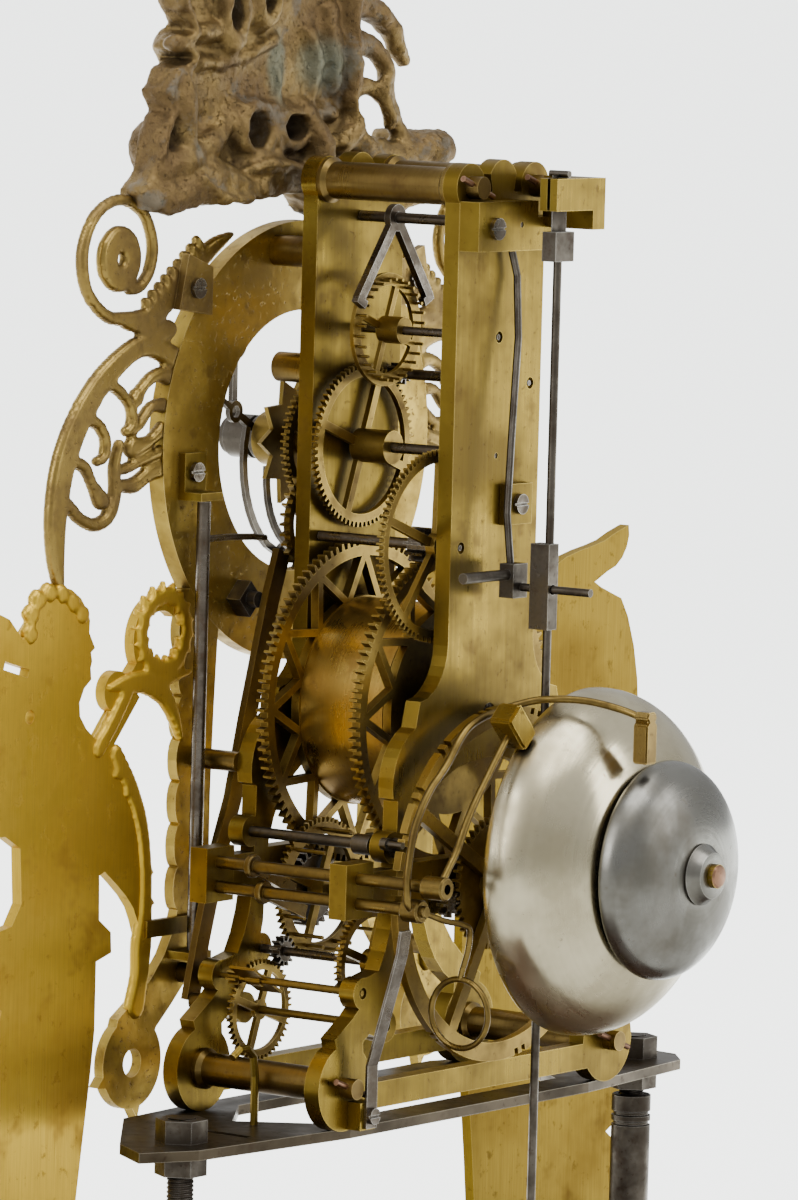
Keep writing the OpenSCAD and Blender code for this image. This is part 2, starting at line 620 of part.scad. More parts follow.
// Brackets and cocks on the plates
pend_d = back_out + 19.9;
bend_z = 259.6;
cock_wall = 2.5;
cock_d1 = back_out + 7;
cock_screw = [13, 258];
small_cock = [-9, 177];
rod_x = 52.6;
rod_d = ring_d1 + 5.8;
rod_top = 176;
rod_low = 44.4;
rod_r = 2;
rod_pivot_r = 1.2;
strap_z = 49;
module box(x0, x1, d0, d1, z0, z1) translate([x0, front_face + d0, z0]) cube([x1 - x0, d1 - d0, z1 - z0]);
module back_cock() color(brass) clock() difference() {
  union() {
    box(-8, 21.4, back_out + touch, cock_d1, 251.4, 265.8);
    box(-21.4, -7, back_out + touch, cock_d1, 251.4, 261);
    box(-19, -13, back_out + 5, pend_d + 3, 258, 273);
    box(-19, 5.4, pend_d - 3, pend_d + 3, 263.6, 273);
  }
  box(-6, 6, back_out - 1, cock_d1 - cock_wall, 250, 264);
  box(-4.2, 6, pend_d - 0.5, pend_d + 0.5, 260, 275);
  shaft(pallet_p, back_out, cock_d1 + 1, pivot_r + pivot_clear);
  screw_hole(cock_screw, cock_d1);
}
module hammer_block(d0) difference() {
  box(block_x + touch, block_x + 13, d0, d0 + 6, block_z - 8, block_z + 8);
  for (p = [hammer_a, hammer_b]) shaft(p, d0 - 1, d0 + 7, hammer_arbor_r + pivot_clear);
}
module rod_bracket(z) difference() {
  box(rod_x - 5, rod_x + 5, ring_d1 + touch, rod_d + 2.8, z, z + 2.4);
  translate([rod_x, front_face + rod_d, z - 1]) cylinder(h = 5, r = rod_pivot_r + pivot_clear);
}
module brackets() color(brass) clock() {
  hammer_block(front_out);
  hammer_block(back_out - 6);
  rod_bracket(rod_top + gap);
  rod_bracket(rod_low - gap - 2.4);
  difference() {
    box(rod_x - 5, rod_x + 5, ring_d1 + touch, ring_d1 + lug_t, rod_top + gap + 2.4, rod_top + 14);
    screw_hole([rod_x, rod_top + 8.4], ring_d1 + lug_t);
  }
  difference() {
    box(small_cock[0] - 6.5, small_cock[0] + 6.5, back_out + touch, back_out + lug_t,
      small_cock[1] - 6, small_cock[1] + 6);
    screw_hole(small_cock, back_out + lug_t);
  }
  for (s = [-1, 1]) translate([s * 57, front_face + ring_d1 + touch, strap_z]) translate([-13, 0, 0]) cube([26, 2, 5]);
  difference() {
    box(57.2, 64.4, back_out + touch, spring_d0 - touch, 0.4, 8.4);
    shaft(spring_screw, back_out, back_out + 9, screw_r + touch);
  }
  tube(wire([[75, 25.5, touch], [75, 25.5, 14], [76, 25.5, 20], [79, 25.5, 22.6], [82.6, 25.5, 22.6],
    [86, 25.5, 20.6]]), 1.2);
}
module frame_screws() color(steel) clock() {
  screw(small_cock, back_out + lug_t, 3);
  screw(cock_screw, cock_d1, 3.2);
  screw([rod_x, rod_top + 8.4], ring_d1 + lug_t, 2.8);
  screw(spring_screw, spring_d0 + spring_t, 2.4);
  for (s = [-1, 1]) screw([s * lug_screw[0], lug_screw[1]], ring_d1 + lug_t, 3);
}

// Bells, their stand and the count wheel's stud
count_gear_d0 = back_out + 2.3;
count_arm_d0 = count_gear_d0 + 2.1;
count_d1 = count_arm_d0 + 2.5;
link_d0 = count_d1 + 2.5;
link_t = 4;
stud_r = 3;
post_r = 3.5;
big_d0 = 78;
big_d1 = 108;
bell_nest = 3;
small_depth = 14.4;
small_d0 = big_d1 - bell_nest;
small_d1 = small_d0 + small_depth;
post_d1 = small_d1 + 6;
collar_r = 8;
module bell_stand() color(brass) clock() {
  shaft(count_p, back_out + touch, link_d0 + eps, stud_r);
  upright(link_d0, link_d0 + link_t) {
    bar(count_p, bell_p, 10);
    at(count_p) circle(5);
    at(bell_p) circle(6);
  }
  shaft(bell_p, link_d0 + link_t - eps, post_d1, post_r);
  shaft(bell_p, big_d1 - bell_wall - 4, big_d1 - bell_wall - touch, 6);
  difference() {
    shaft(bell_p, big_d1 + touch, small_d1 - bell_wall - touch, 6);
    shaft(bell_p, big_d1, small_d1, post_r + touch);
  }
  difference() {
    upright(small_d1 + touch, small_d1 + 4) at(bell_p) circle(6.4, $fn = 6);
    shaft(bell_p, small_d1, small_d1 + 5, post_r + touch);
  }
}
function bell_line(r, depth, n) = [for (i = [0:n]) let (a = 90 * i / n)
  [collar_r + (r - collar_r) * pow(cos(a), 1.1), depth * pow(sin(a), 0.9)]];
module bell(r, d0, d1) clock() difference() {
  turned(bell_p, d0) polygon(concat(
    bell_line(r, d1 - d0, 12), [[post_r + touch, d1 - d0], [post_r + touch, d1 - d0 - bell_wall]],
    [for (i = [12:-1:0]) bell_line(r - bell_wall, d1 - d0 - bell_wall, 12)[i]]));
}
module big_bell() color(bell_metal) bell(big_bell_r, big_d0, big_d1);
module small_bell() color(bell_metal) bell(small_bell_r, small_d0, small_d1);

spring_d0 = back_out + 4.5;
spring_t = 0.8;
spring_screw = [60, 4.4];
module hammer_springs() color(steel) clock() difference() {
  translate([57.5, 0, 0]) rotate([90, 0, 90]) linear_extrude(5)
    polygon(band([for (p = [[spring_d0 + spring_t / 2, 0.8], [spring_d0 + spring_t / 2, 19],
      [spring_d0 + 4, 31], [spring_d0 + 10, 52], [spring_d0 + 11, 59]]) [front_face + p[0], p[1]]], spring_t));
  shaft(spring_screw, spring_d0 - 1, spring_d0 + 2, screw_r + touch);
}
module lifting_rod() color(steel) clock() {
  translate([rod_x, front_face + rod_d, rod_low]) cylinder(h = rod_top - rod_low, r = rod_r);
  translate([rod_x, front_face + rod_d, rod_low - 2.4]) cylinder(h = rod_top - rod_low + 4.8, r = rod_pivot_r);
  tube(wire([[rod_x, rod_d, 165], [40, rod_d, 165], [30, rod_d + 1, 164.6], [24, rod_d + 1, 164]]), 1);
}
strip_d0 = front_out - 7;
module side_strip() color(steel) clock() {
  upright(strip_d0, strip_d0 + 2.3)
    polygon(band([[20, 160], [25, 146], [35, 111.3], [41, 88.2], [47.2, 73.1], [54.6, 48.1], [59, 30.5]], 6));
  shaft([59, 30.5], strip_d0 + 2.3 - eps, front_out - touch, 2.4);
}
module release_levers() color(steel) clock() difference() {
  union() {
    upright(lever_d0, lever_d0 + 1.5) {
      polygon(band(bend(lever_p, [6, 158], [15, 178], [10.4, 195], 10), 2.2));
      at(lever_p) circle(3);
    }
    upright(lever_d0 + 9.2, lever_d0 + 10.4) {
      polygon(band(bend(lever_p, [0, 158], [13, 164], [12, 184], 10), 2.2));
      at(lever_p) circle(lever_hub_r);
    }
    shaft(lever_p, lever_d0, lever_d0 + 10.4, lever_hub_r);
  }
  shaft(lever_p, lever_d0 - 1, lever_d0 + 12, lever_stud_r + pivot_clear);
}

// Barrel, its arbor and the two great wheels
drum_d0 = 5;
drum_d1 = 34.8;
wall = 1.7;
barrel_arbor_r = 5;
core_r = 7.5;
going_d0 = 35.5;
going_d1 = 38.3;
star_hub_r = 31;
module barrel() color(brass) clock() {
  difference() {
    shaft(barrel_p, drum_d0 + touch, drum_d1 - wall, barrel_r);
    shaft(barrel_p, drum_d0 + wall, drum_d1, barrel_r - wall);
    shaft(barrel_p, drum_d0 - 1, drum_d1, barrel_arbor_r + pivot_clear);
  }
  difference() {
    shaft(barrel_p, drum_d1 - wall + touch, drum_d1, barrel_r);
    shaft(barrel_p, drum_d0, drum_d1 + 1, barrel_arbor_r + pivot_clear);
  }
}
module strike_great_wheel() color(brass) clock() upright(drum_d0 - 2.8, drum_d0) at(barrel_p)
  star_wheel(great_teeth, great_module, star_hub_r, barrel_arbor_r + pivot_clear);
coils = 8;
module mainspring() color(steel) clock() {
  pitch = (barrel_r - wall - 1.2 - core_r - 1.5) / coils;
  route = [for (i = [0:coils * 16]) polar([0, 0], core_r + 1.2 + pitch * i / 16, i * 22.5)];
  upright(drum_d0 + wall + 0.6, drum_d1 - wall - 0.6) at(barrel_p) polygon(band(route, 0.9));
}
ratchet_teeth = 24;
ratchet_r0 = 10.8;
ratchet_r1 = 12.5;
ratchet_d0 = going_d1 + gap;
module barrel_arbor() color(steel) clock() {
  shaft(barrel_p, gap, back_in - gap, barrel_arbor_r);
  shaft(barrel_p, drum_d0 + wall + 0.6, drum_d1 - wall - 0.6, core_r);
  shaft(barrel_p, front_out + gap, back_out - gap, barrel_pivot_r);
  upright(-24.5, front_out + 1) at(barrel_p) square(4.2, center = true);
  upright(ratchet_d0, ratchet_d0 + 2) at(barrel_p) polygon([for (i = [0:ratchet_teeth - 1])
    let (p = 360 / ratchet_teeth, a = 90 + i * p)
      each [polar([0, 0], ratchet_r0, a), polar([0, 0], ratchet_r1, a + p)]]);
}
click_p = [-11.5, barrel_z + 15.6];
click_stud_r = 1.2;
module going_great_wheel() color(brass) clock() {
  upright(going_d0, going_d1) at(barrel_p)
    star_wheel(great_teeth, great_module, star_hub_r, barrel_arbor_r + pivot_clear);
  shaft(click_p, going_d1 - eps, ratchet_d0 + 2.4, click_stud_r);
  upright(going_d1 - eps, ratchet_d0 + 1.4) at(barrel_p)
    polygon(band(bend([-22, 4], [-22, 18], [-17, 24], [-6, 17.6], 8), 0.8));
}
module click() color(steel) clock() upright(ratchet_d0, ratchet_d0 + 1.8) difference() {
  union() {
    at(barrel_p) polygon([[-0.3, 13.4], [-8, 17.2], [-12, 18.2], [-10, 13.2], [-3.4, 12.55], [-0.3, 11.15]]);
    at(click_p) circle(3);
  }
  at(click_p) circle(click_stud_r + pivot_clear);
}

// Going train
module fixed_wheel(p, d0, d1, n, m, turn, arms, rim, collet_r, collet_d1) {
  upright(d0, d1) at(p) crossed_wheel(n, m, turn, arms, 2.6, rim, collet_r, arbor_r + touch);
  difference() {
    shaft(p, d1 - eps, collet_d1, collet_r);
    shaft(p, d0, collet_d1 + 1, arbor_r + touch);
  }
}
module intermediate_arbor() color(steel) clock() {
  arbor_rod(inter_p, arbor_r, pivot_r);
  pinion(inter_p, 34, 40.5, great_leaves, great_module, inter_turn, 0);
}
module intermediate_wheel() color(brass) clock()
  fixed_wheel(inter_p, 41.2, 43, inter_teeth, inter_module, inter_wheel_turn, 5, 2.2, 4, 44.4);
nut_d0 = -48.4;
module centre_arbor() color(steel) clock() {
  shaft(centre_p, nut_d0, back_in - gap, centre_pivot_r);
  shaft(centre_p, back_in - 1, back_out - gap, pivot_r);
  shaft(centre_p, nut_d0, nut_d0 + 1.5, 2.8);
  pinion(centre_p, 40.5, 44, centre_leaves, inter_module, centre_turn, 0);
}
module centre_wheel() color(brass) clock()
  fixed_wheel(centre_p, 1.6, 3.4, centre_teeth, centre_module, 0, 4, 2.4, 5, 14);
module third_arbor() color(steel) clock() {
  arbor_rod(third_p, arbor_r, pivot_r);
  pinion(third_p, 0.9, 6, third_leaves, centre_module, third_turn, 0);
}
module third_wheel() color(brass) clock()
  fixed_wheel(third_p, 38, 39.8, third_teeth, third_module, 0, 4, 2, 3.6, 42);
escape_d0 = 9.3;
escape_d1 = 10.7;
module escape_arbor() color(steel) clock() {
  necked_rod(escape_p, escape_rod_r, gap, 36);
  shaft(escape_p, 41.6, back_in - gap, escape_rod_r);
  pinion(escape_p, 37, 41, escape_leaves, third_module, escape_turn, 0);
}
module escape_wheel() color(brass) clock() {
  upright(escape_d0, escape_d1) at(escape_p) difference() {
    circle(pin_circle_r + 1.8, $fn = fine);
    difference() {
      circle(pin_circle_r - 1.9, $fn = fine);
      circle(4);
      for (i = [0:3]) rotate(i * 90 + 20) translate([0, -1]) square([pin_circle_r, 2]);
    }
    circle(escape_rod_r + touch);
  }
  difference() {
    shaft(escape_p, escape_d1 - eps, 17, 4);
    shaft(escape_p, escape_d0, 18, escape_rod_r + touch);
  }
  for (i = [0:escape_pins - 1]) shaft(polar(escape_p, pin_circle_r, i * 360 / escape_pins + 6),
    escape_d1 - eps, escape_d1 + 3, 0.45);
}

// Striking train
wheel_d0 = 6.6;
wheel_d1 = 8.1;
module pin_wheel_arbor() color(steel) clock() {
  shaft(pin_p, gap, count_arm_d0 - gap, arbor_r);
  shaft(pin_p, front_out + gap, 1, pivot_r);
  pinion(pin_p, 1.2, 5.8, pin_leaves, great_module, pin_turn, 0);
  pinion(pin_p, count_gear_d0 - 0.8, count_arm_d0 - gap, count_leaves, count_module, 0, 0);
}
lift_pins = 16;
module pin_wheel() color(brass) clock() {
  fixed_wheel(pin_p, wheel_d0, wheel_d1, strike_teeth, strike_module, 0, 4, 3.6, 5, 12);
  for (i = [0:lift_pins - 1]) shaft(polar(pin_p, 17.6, i * 360 / lift_pins), wheel_d1 - eps,
    i % 2 == 0 ? 18.3 : 14.3, 0.6);
}
module strike_arbor() color(steel) clock() {
  arbor_rod(strike_p, 1.3, pivot_r);
  pinion(strike_p, 5.9, 8.8, strike_leaves, strike_module, strike_turn, 0);
}
module strike_wheel() color(brass) clock() {
  upright(38.4, 40.2) at(strike_p)
    crossed_wheel(warning_teeth, warning_module, 0, 4, 2.4, 2, 4, 1.3 + touch);
  difference() {
    shaft(strike_p, 40.2 - eps, 43, 4);
    shaft(strike_p, 38, 44, 1.3 + touch);
  }
}
module warning_wheel() color(brass) clock() {
  upright(4.2, 5.6) at(warning_p) crossed_wheel(fly_teeth, fly_module, 0, 4, 2.2, 1.8, 3, 0.6);
  arbor_rod(warning_p, 1.2, pivot_r);
  pinion(warning_p, 37.4, 41.4, warning_leaves, warning_module, warning_turn, 0);
}
module fly() color(brass) clock() {
  necked_rod(fly_p, 1.2, 7.2, back_in - gap);
  pinion(fly_p, 3, 6.6, fly_leaves, fly_module, fly_turn, 0);
  upright(8, 17) at(fly_p) rotate(30) square([16, 0.8], center = true);
  shaft(fly_p, 10, 15, 1.8);
}
count_rim_r = 52.3;
count_ring = 5.5;
module count_wheel() color(brass) clock() {
  blows = [for (hour = [1:12]) each [hour, 1]];
  total = 90;
  starts = [for (i = 0, sum = 0; i < len(blows); sum = sum + blows[i], i = i + 1) sum];
  upright(count_arm_d0, count_d1) at(count_p) difference() {
    circle(count_rim_r, $fn = 128);
    difference() {
      circle(count_rim_r - count_ring, $fn = 128);
      circle(8);
      for (i = [0:3]) rotate(i * 90 + 30) translate([0, -2]) square([count_rim_r - 2, 4]);
    }
    circle(stud_r + pivot_clear);
    for (s = starts) rotate(s * 360 / total) translate([count_rim_r - 2, -0.9]) square([4, 1.8]);
  }
  upright(count_gear_d0, count_arm_d0 - gap) at(count_p) difference() {
    wheel_teeth(count_teeth, count_module, count_turn);
    circle(stud_r + pivot_clear);
  }
  difference() {
    shaft(count_p, count_arm_d0 - gap - eps, count_arm_d0 + eps, 8);
    shaft(count_p, count_gear_d0, count_d1, stud_r + pivot_clear);
  }
}

// Motion work and hands
cannon_d0 = front_out - 4.3;
pipe_r = 3;
hour_pipe_r = 4.2;
hour_drum_d0 = ring_d1 - 11.5;
minute_drum_d0 = ring_d1 - 23.5;
hour_hand_d0 = -35;
minute_hand_d0 = -46.5;
hand_t = 1.5;
module cannon_pinion() color(steel) clock() {
  pinion(centre_p, cannon_d0, cannon_d0 + 2.1, cannon_teeth, minute_module, 0, centre_pivot_r + touch);
  difference() {
    union() {
      shaft(centre_p, minute_drum_d0 + 7, cannon_d0 + eps, pipe_r);
      shaft(centre_p, minute_drum_d0, minute_drum_d0 + 8, 6.5);
      shaft(centre_p, minute_hand_d0 - 0.2, minute_drum_d0 + eps, 2.3);
    }
    shaft(centre_p, minute_hand_d0 - 1, cannon_d0 + 1, centre_pivot_r + touch);
  }
}
module minute_wheel() color(brass) clock() {
  pinion(minute_p, cannon_d0 - 3.2, cannon_d0 + eps, minute_leaves, hour_module, 0,
    minute_stud_r + pivot_clear);
  upright(cannon_d0, cannon_d0 + 2.1) at(minute_p)
    crossed_wheel(minute_teeth, minute_module, minute_turn, 4, 3, 2.4, 5, minute_stud_r + pivot_clear);
}
module hour_wheel() color(brass) clock() {
  upright(-12.4, -10.4) at(centre_p)
    crossed_wheel(hour_teeth, hour_module, hour_turn, 4, 3, 2.4, 6, pipe_r + pivot_clear);
  difference() {
    union() {
      shaft(centre_p, hour_hand_d0 - 0.2, -12.4 + eps, hour_pipe_r);
      shaft(centre_p, hour_drum_d0, hour_drum_d0 + 8, 8);
      upright(-20.4, -19) at(centre_p) polygon([for (i = [0:23])
        polar([0, 0], i % 2 == 0 ? 21 : 15.6, i * 15)]);
    }
    shaft(centre_p, hour_hand_d0 - 1, -12, pipe_r + pivot_clear);
  }
}
module hand(length, root_r, bore, d0, turn) upright(d0, d0 + hand_t) at(centre_p) rotate(turn) difference() {
  union() {
    circle(root_r);
    polygon([[0, -1.4], [length * 0.62, -1], [length, 0], [length * 0.62, 1], [0, 1.4]]);
    translate([length * 0.5, 0]) circle(length * 0.1);
  }
  circle(bore + touch);
  translate([length * 0.5, 0]) circle(length * 0.055);
}
module hour_hand() color(steel) clock() hand(hour_hand_len, 6.5, hour_pipe_r, hour_hand_d0, 30);
module minute_hand() color(steel) clock() hand(minute_hand_len, 5.6, 2.3, minute_hand_d0, 90);

// Escapement and pendulum
pallet_d0 = 11.4;
pallet_d1 = 13.6;
nib_angle = 28.1;
nib_gap = 1.45;
collet_d0 = back_out + 0.9;
module pallets() color(steel) clock() {
  shaft(pallet_p, gap, collet_d0 + 3.2, 1.6);
  shaft(pallet_p, front_out + gap, cock_d1 - gap, pivot_r);
  upright(pallet_d0, pallet_d1) {
    at(pallet_p) circle(4);
    for (a = [nib_angle, 180 - nib_angle]) {
      bar(pallet_p, polar(escape_p, 19.6, a), 3.2);
      bar(polar(escape_p, pin_circle_r + nib_gap, a), polar(escape_p, 21, a), 2.4);
    }
  }
}
fork_z = 153.7;
fork_r = 1.2;
fork_d = pend_d - 14.4;
module crutch() color(steel) clock() {
  difference() {
    shaft(pallet_p, collet_d0, collet_d0 + 3, 2.8);
    shaft(pallet_p, collet_d0 - 1, collet_d0 + 4, 1.6 + touch);
  }
  tube(wire([[0, collet_d0 + 1.5, pallet_p[1] - 2], [-2, collet_d0 + 1.5, 250.6],
    [-4, fork_d - 2.6, 244], [-2.6, fork_d - 0.6, 226], [1.2, fork_d + 0.8, 200],
    [4, fork_d + 1.8, 175], [2.4, fork_d + 2.4, 160]]), 1.1);
  box(-2.6, 4.4, fork_d, fork_d + 5, 150.6, 160.6);
  shaft([0, fork_z], fork_d + 3.4, fork_d + 29.4, fork_r);
  translate([0, front_face + fork_d + 2.5, 157.4]) rotate([0, 90, 0]) cylinder(h = 26, r = 1.6);
}
pend_rod_r = 1.25;
bob_z = bend_z - pendulum_len;
bob_t = 12.4;
nut_z = bob_z - bob_r - 3.4;
module pendulum_rod() color(steel) clock() {
  box(-3.6, 3.6, pend_d - 0.15, pend_d + 0.15, 256, 274);
  shaft([0, 274.3], pend_d - 3.4, pend_d + 3.4, 1);
  box(-4.6, 4.6, pend_d - 2.4, pend_d + 2.4, 249, 257.6);
  difference() {
    union() {
      translate([0, front_face + pend_d, bob_z]) cylinder(h = 252 - bob_z, r = pend_rod_r);
      box(-2.4, 2.4, pend_d - 5, pend_d + 1.6, 142, 167);
    }
    shaft([0, fork_z], pend_d - 10, pend_d + 3, fork_r + gap);
  }
  translate([0, front_face + pend_d, nut_z - 0.4]) cylinder(h = bob_z - nut_z + 1, r = pend_rod_r);
}
bob_edge = 2;
bob_cap = (bob_t - bob_edge) / 2;
bob_face_r = (bob_r * bob_r + bob_cap * bob_cap) / (2 * bob_cap);
module for_face(s) translate([0, front_face + pend_d + s * (bob_face_r - bob_t / 2), bob_z]) children();
module pendulum_bob() color(brass) clock() {
  difference() {
    intersection() {
      shaft([0, bob_z], pend_d - bob_t, pend_d + bob_t, bob_r);
      for_face(-1) sphere(bob_face_r, $fn = fine);
      for_face(1) sphere(bob_face_r, $fn = fine);
    }
    translate([0, front_face + pend_d, bob_z - bob_r - 1]) cylinder(h = 2 * bob_r + 2, r = pend_rod_r + touch);
  }
  difference() {
    translate([0, front_face + pend_d, nut_z]) cylinder(h = 3.2, r = 4.6, $fn = 6);
    translate([0, front_face + pend_d, nut_z - 1]) cylinder(h = 6, r = pend_rod_r + touch);
  }
}

// Hammers and the count wheel's detent
head = 12.5;
head_w = 7.8;
hour_head = [28, 116.5];
hour_wire_d = 79.5;
module hour_hammer() color(steel) clock() {
  shaft(hammer_a, front_out, 82.4, hammer_arbor_r);
  shaft(hammer_a, 74.6, 82.4, 3.4);
  tube(wire([[61, hour_wire_d, 75], [54.3, hour_wire_d, 81.9], [49.4, hour_wire_d, 90.6],
    [42, hour_wire_d, 100.7], [29.6, hour_wire_d, 114.6]]), 1.1);
  translate([hour_head[0], front_face + hour_wire_d, hour_head[1]])
    rotate([0, -heading(bell_p, hour_head), 0]) cube([head, head_w, head_w], center = true);
  upright(12, 14) {
    bar([42.5, 64], hammer_a, 3.6);
    at(hammer_a) circle(3.4);
  }
}
module quarter_hammer() color(steel) clock() {
  shaft(hammer_b, front_out, 75.4, hammer_arbor_r);
  shaft(hammer_b, 67.6, 74, 3.4);
  tube(wire([[63.6, 71.5, 65.4], [66.5, 71.5, 67.4], [66.5, 71.5, 76], [64, 71.5, 88], [57.2, 71.5, 99.2],
    [48.3, 71.5, 106.8], [41.8, 71.5, 114.6], [32, 71.5, 118.5], [23.8, 71.5, 119.9], [19.2, 71.5, 121.3],
    [13, 77.5, 123.1], [10.6, 83.5, 123.6], [5, 94.5, 122.6], [3, 106.9, 120.2]]), 1.1);
  translate([3, front_face + 108.5, 106.4]) cylinder(h = 15, r = 2.8);
  upright(16, 18) {
    bar([42.3, 58], hammer_b, 3.6);
    at(hammer_b) circle(3.4);
  }
  tube(wire([[60, 71.5, 65.2], [50, 73, 62], [38.5, 74.5, 59], [38.5, 73, 50], [38.5, 71, 43.6]]), 0.9);
  translate([38.5, front_face + 71, 33.4]) rotate([0, 90, 0]) rotate_extrude($fn = fine)
    translate([10, 0]) circle(0.9, $fn = 24);
}
detent_tip = [51.9, 82];
detent_d1 = count_gear_d0 + 0.4;
module detent() color(steel) clock() {
  shaft(detent_p, front_out, detent_d1, arbor_r);
  shaft(detent_p, 38, 44, 3);
  upright(detent_d1 - 2, detent_d1) {
    bar(detent_p, detent_tip, 3.6);
    at(detent_p) circle(3);
    at(detent_tip) circle(1.8);
  }
  shaft(detent_tip, detent_d1 - 0.8, count_d1 + 1, 1);
}

plinth();
plinth_feet();
platform();
studs();
nuts_and_bolts();
front_plate();
back_plate();
pillars();
taper_pins();
frame_screws();
dial_ring();
chapter_ring();
dial_pillars();
frame_legs();
side_scrolls();
left_figure();
right_figure();
crest();
back_cock();
brackets();
bell_stand();
big_bell();
small_bell();
hammer_springs();
lifting_rod();
side_strip();
release_levers();
barrel();
strike_great_wheel();
mainspring();
barrel_arbor();
going_great_wheel();
click();
intermediate_arbor();
intermediate_wheel();
centre_arbor();
centre_wheel();
third_arbor();
third_wheel();
escape_arbor();
escape_wheel();
pin_wheel_arbor();
pin_wheel();
strike_arbor();
strike_wheel();
warning_wheel();
fly();
count_wheel();
cannon_pinion();
minute_wheel();
hour_wheel();
hour_hand();
minute_hand();
pallets();
crutch();
pendulum_rod();
pendulum_bob();
hour_hammer();
quarter_hammer();
detent();
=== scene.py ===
import math

import bmesh
import bpy
import numpy as np
from mathutils import Matrix, Vector, noise


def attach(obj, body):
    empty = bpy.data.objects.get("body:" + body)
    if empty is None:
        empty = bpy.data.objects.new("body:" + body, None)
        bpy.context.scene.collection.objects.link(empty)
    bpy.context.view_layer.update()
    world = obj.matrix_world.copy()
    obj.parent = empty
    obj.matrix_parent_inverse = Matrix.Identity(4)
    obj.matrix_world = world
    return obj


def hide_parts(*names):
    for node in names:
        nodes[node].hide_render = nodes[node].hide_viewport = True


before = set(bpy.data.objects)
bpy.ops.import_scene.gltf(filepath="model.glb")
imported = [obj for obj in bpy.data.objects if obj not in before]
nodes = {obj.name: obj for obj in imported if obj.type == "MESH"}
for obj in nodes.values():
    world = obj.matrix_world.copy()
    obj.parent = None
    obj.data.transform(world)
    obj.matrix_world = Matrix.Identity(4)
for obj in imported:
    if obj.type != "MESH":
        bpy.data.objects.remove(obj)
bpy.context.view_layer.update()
print("frame loaded with", len(nodes), "nodes")


# The clock's own measures in millimetres: x to the right seen from the front, d back from the
# front plate's inner face, z up from the platform's top.
frameMiddle, platformTop = 41.55, 138


def spot(x, d, z):
    return Vector((x, d - frameMiddle, z + platformTop)) / 1000


# One class wraps a socket, and one builds a finish.
class Wire:
    def __init__(self, socket):
        self.socket = socket

    def join(self, how, other, swapped=False):
        tree = self.socket.id_data
        made = tree.nodes.new("ShaderNodeMath")
        made.operation = how
        pair = (other, self) if swapped else (self, other)
        for place, value in zip(made.inputs, pair):
            plug(tree, place, value)
        return Wire(made.outputs[0])

    def __add__(self, other):
        return self.join("ADD", other)

    def __radd__(self, other):
        return self.join("ADD", other, True)

    def __sub__(self, other):
        return self.join("SUBTRACT", other)

    def __rsub__(self, other):
        return self.join("SUBTRACT", other, True)

    def __mul__(self, other):
        return self.join("MULTIPLY", other)

    def __rmul__(self, other):
        return self.join("MULTIPLY", other, True)


def plug(tree, place, value):
    if isinstance(value, Wire):
        tree.links.new(value.socket, place)
    elif place.type == "RGBA" and len(value) == 3:
        place.default_value = (*value, 1)
    else:
        place.default_value = value


class Finish:
    def __init__(self, tree):
        self.tree = tree

    def add(self, kind, settings, sockets, out=0):
        made = self.tree.nodes.new(kind)
        for key, value in settings.items():
            if key == "stops":
                fillRamp(made.color_ramp, value)
            else:
                setattr(made, key, value)
        for key, value in sockets.items():
            plug(self.tree, made.inputs[key], value)
        return Wire(made.outputs[out]) if len(made.outputs) else made

    def ramp(self, value, stops):
        return self.add("ShaderNodeValToRGB", {"stops": stops}, {0: value})

    def spread(self, value, low, high):  # 0 below low, 1 above high
        return self.add("ShaderNodeMapRange", {"interpolation_type": "SMOOTHSTEP"},
                        {0: value, 1: low, 2: high})

    def blend(self, share, first, second):
        return self.add("ShaderNodeMix", {"data_type": "RGBA"}, {0: share, 6: first, 7: second}, 2)

    def place(self):
        return self.add("ShaderNodeTexCoord", {}, {}, "Object")

    def vector(self, how, first, second, out=0):
        return self.add("ShaderNodeVectorMath", {"operation": how}, {0: first, 1: second}, out)

    def noise(self, vector, scale, detail=3, rough=0.55):
        return self.add("ShaderNodeTexNoise", {},
                        {"Vector": vector, "Scale": scale, "Detail": detail, "Roughness": rough})

    def patches(self, vector, scale, detail, rough, low, high):
        return self.spread(self.noise(vector, scale, detail, rough), low, high)

    def grain(self, vector, stretch, detail, rough):
        return self.noise(self.vector("MULTIPLY", vector, stretch), 1.0, detail, rough)

    def edges(self, radius):  # above 0 along outer edges
        rounded = self.add("ShaderNodeBevel", {"samples": 4}, {"Radius": radius})
        flat = self.add("ShaderNodeNewGeometry", {}, {}, "Normal")
        return 1 - self.vector("DOT_PRODUCT", rounded, flat, "Value")

    def hollows(self, reach):  # towards 1 deep in corners
        return 1 - self.add("ShaderNodeAmbientOcclusion", {"samples": 6}, {"Distance": reach}, "AO")

    def bump(self, height, depth):
        return self.add("ShaderNodeBump", {}, {"Height": height, "Distance": depth, "Strength": 1.0})

    def shade(self, sockets):
        surface = self.add("ShaderNodeBsdfPrincipled", {}, sockets)
        self.add("ShaderNodeOutputMaterial", {}, {"Surface": surface})


def fillRamp(ramp, stops):
    while len(ramp.elements) < len(stops):
        ramp.elements.new(1.0)
    for element, (where, colour) in zip(ramp.elements, stops):
        element.position = where
        element.color = (*colour, 1)


def newFinish(name):
    material = bpy.data.materials.new(name)
    material.use_nodes = True
    material.node_tree.nodes.clear()
    return material, Finish(material.node_tree)


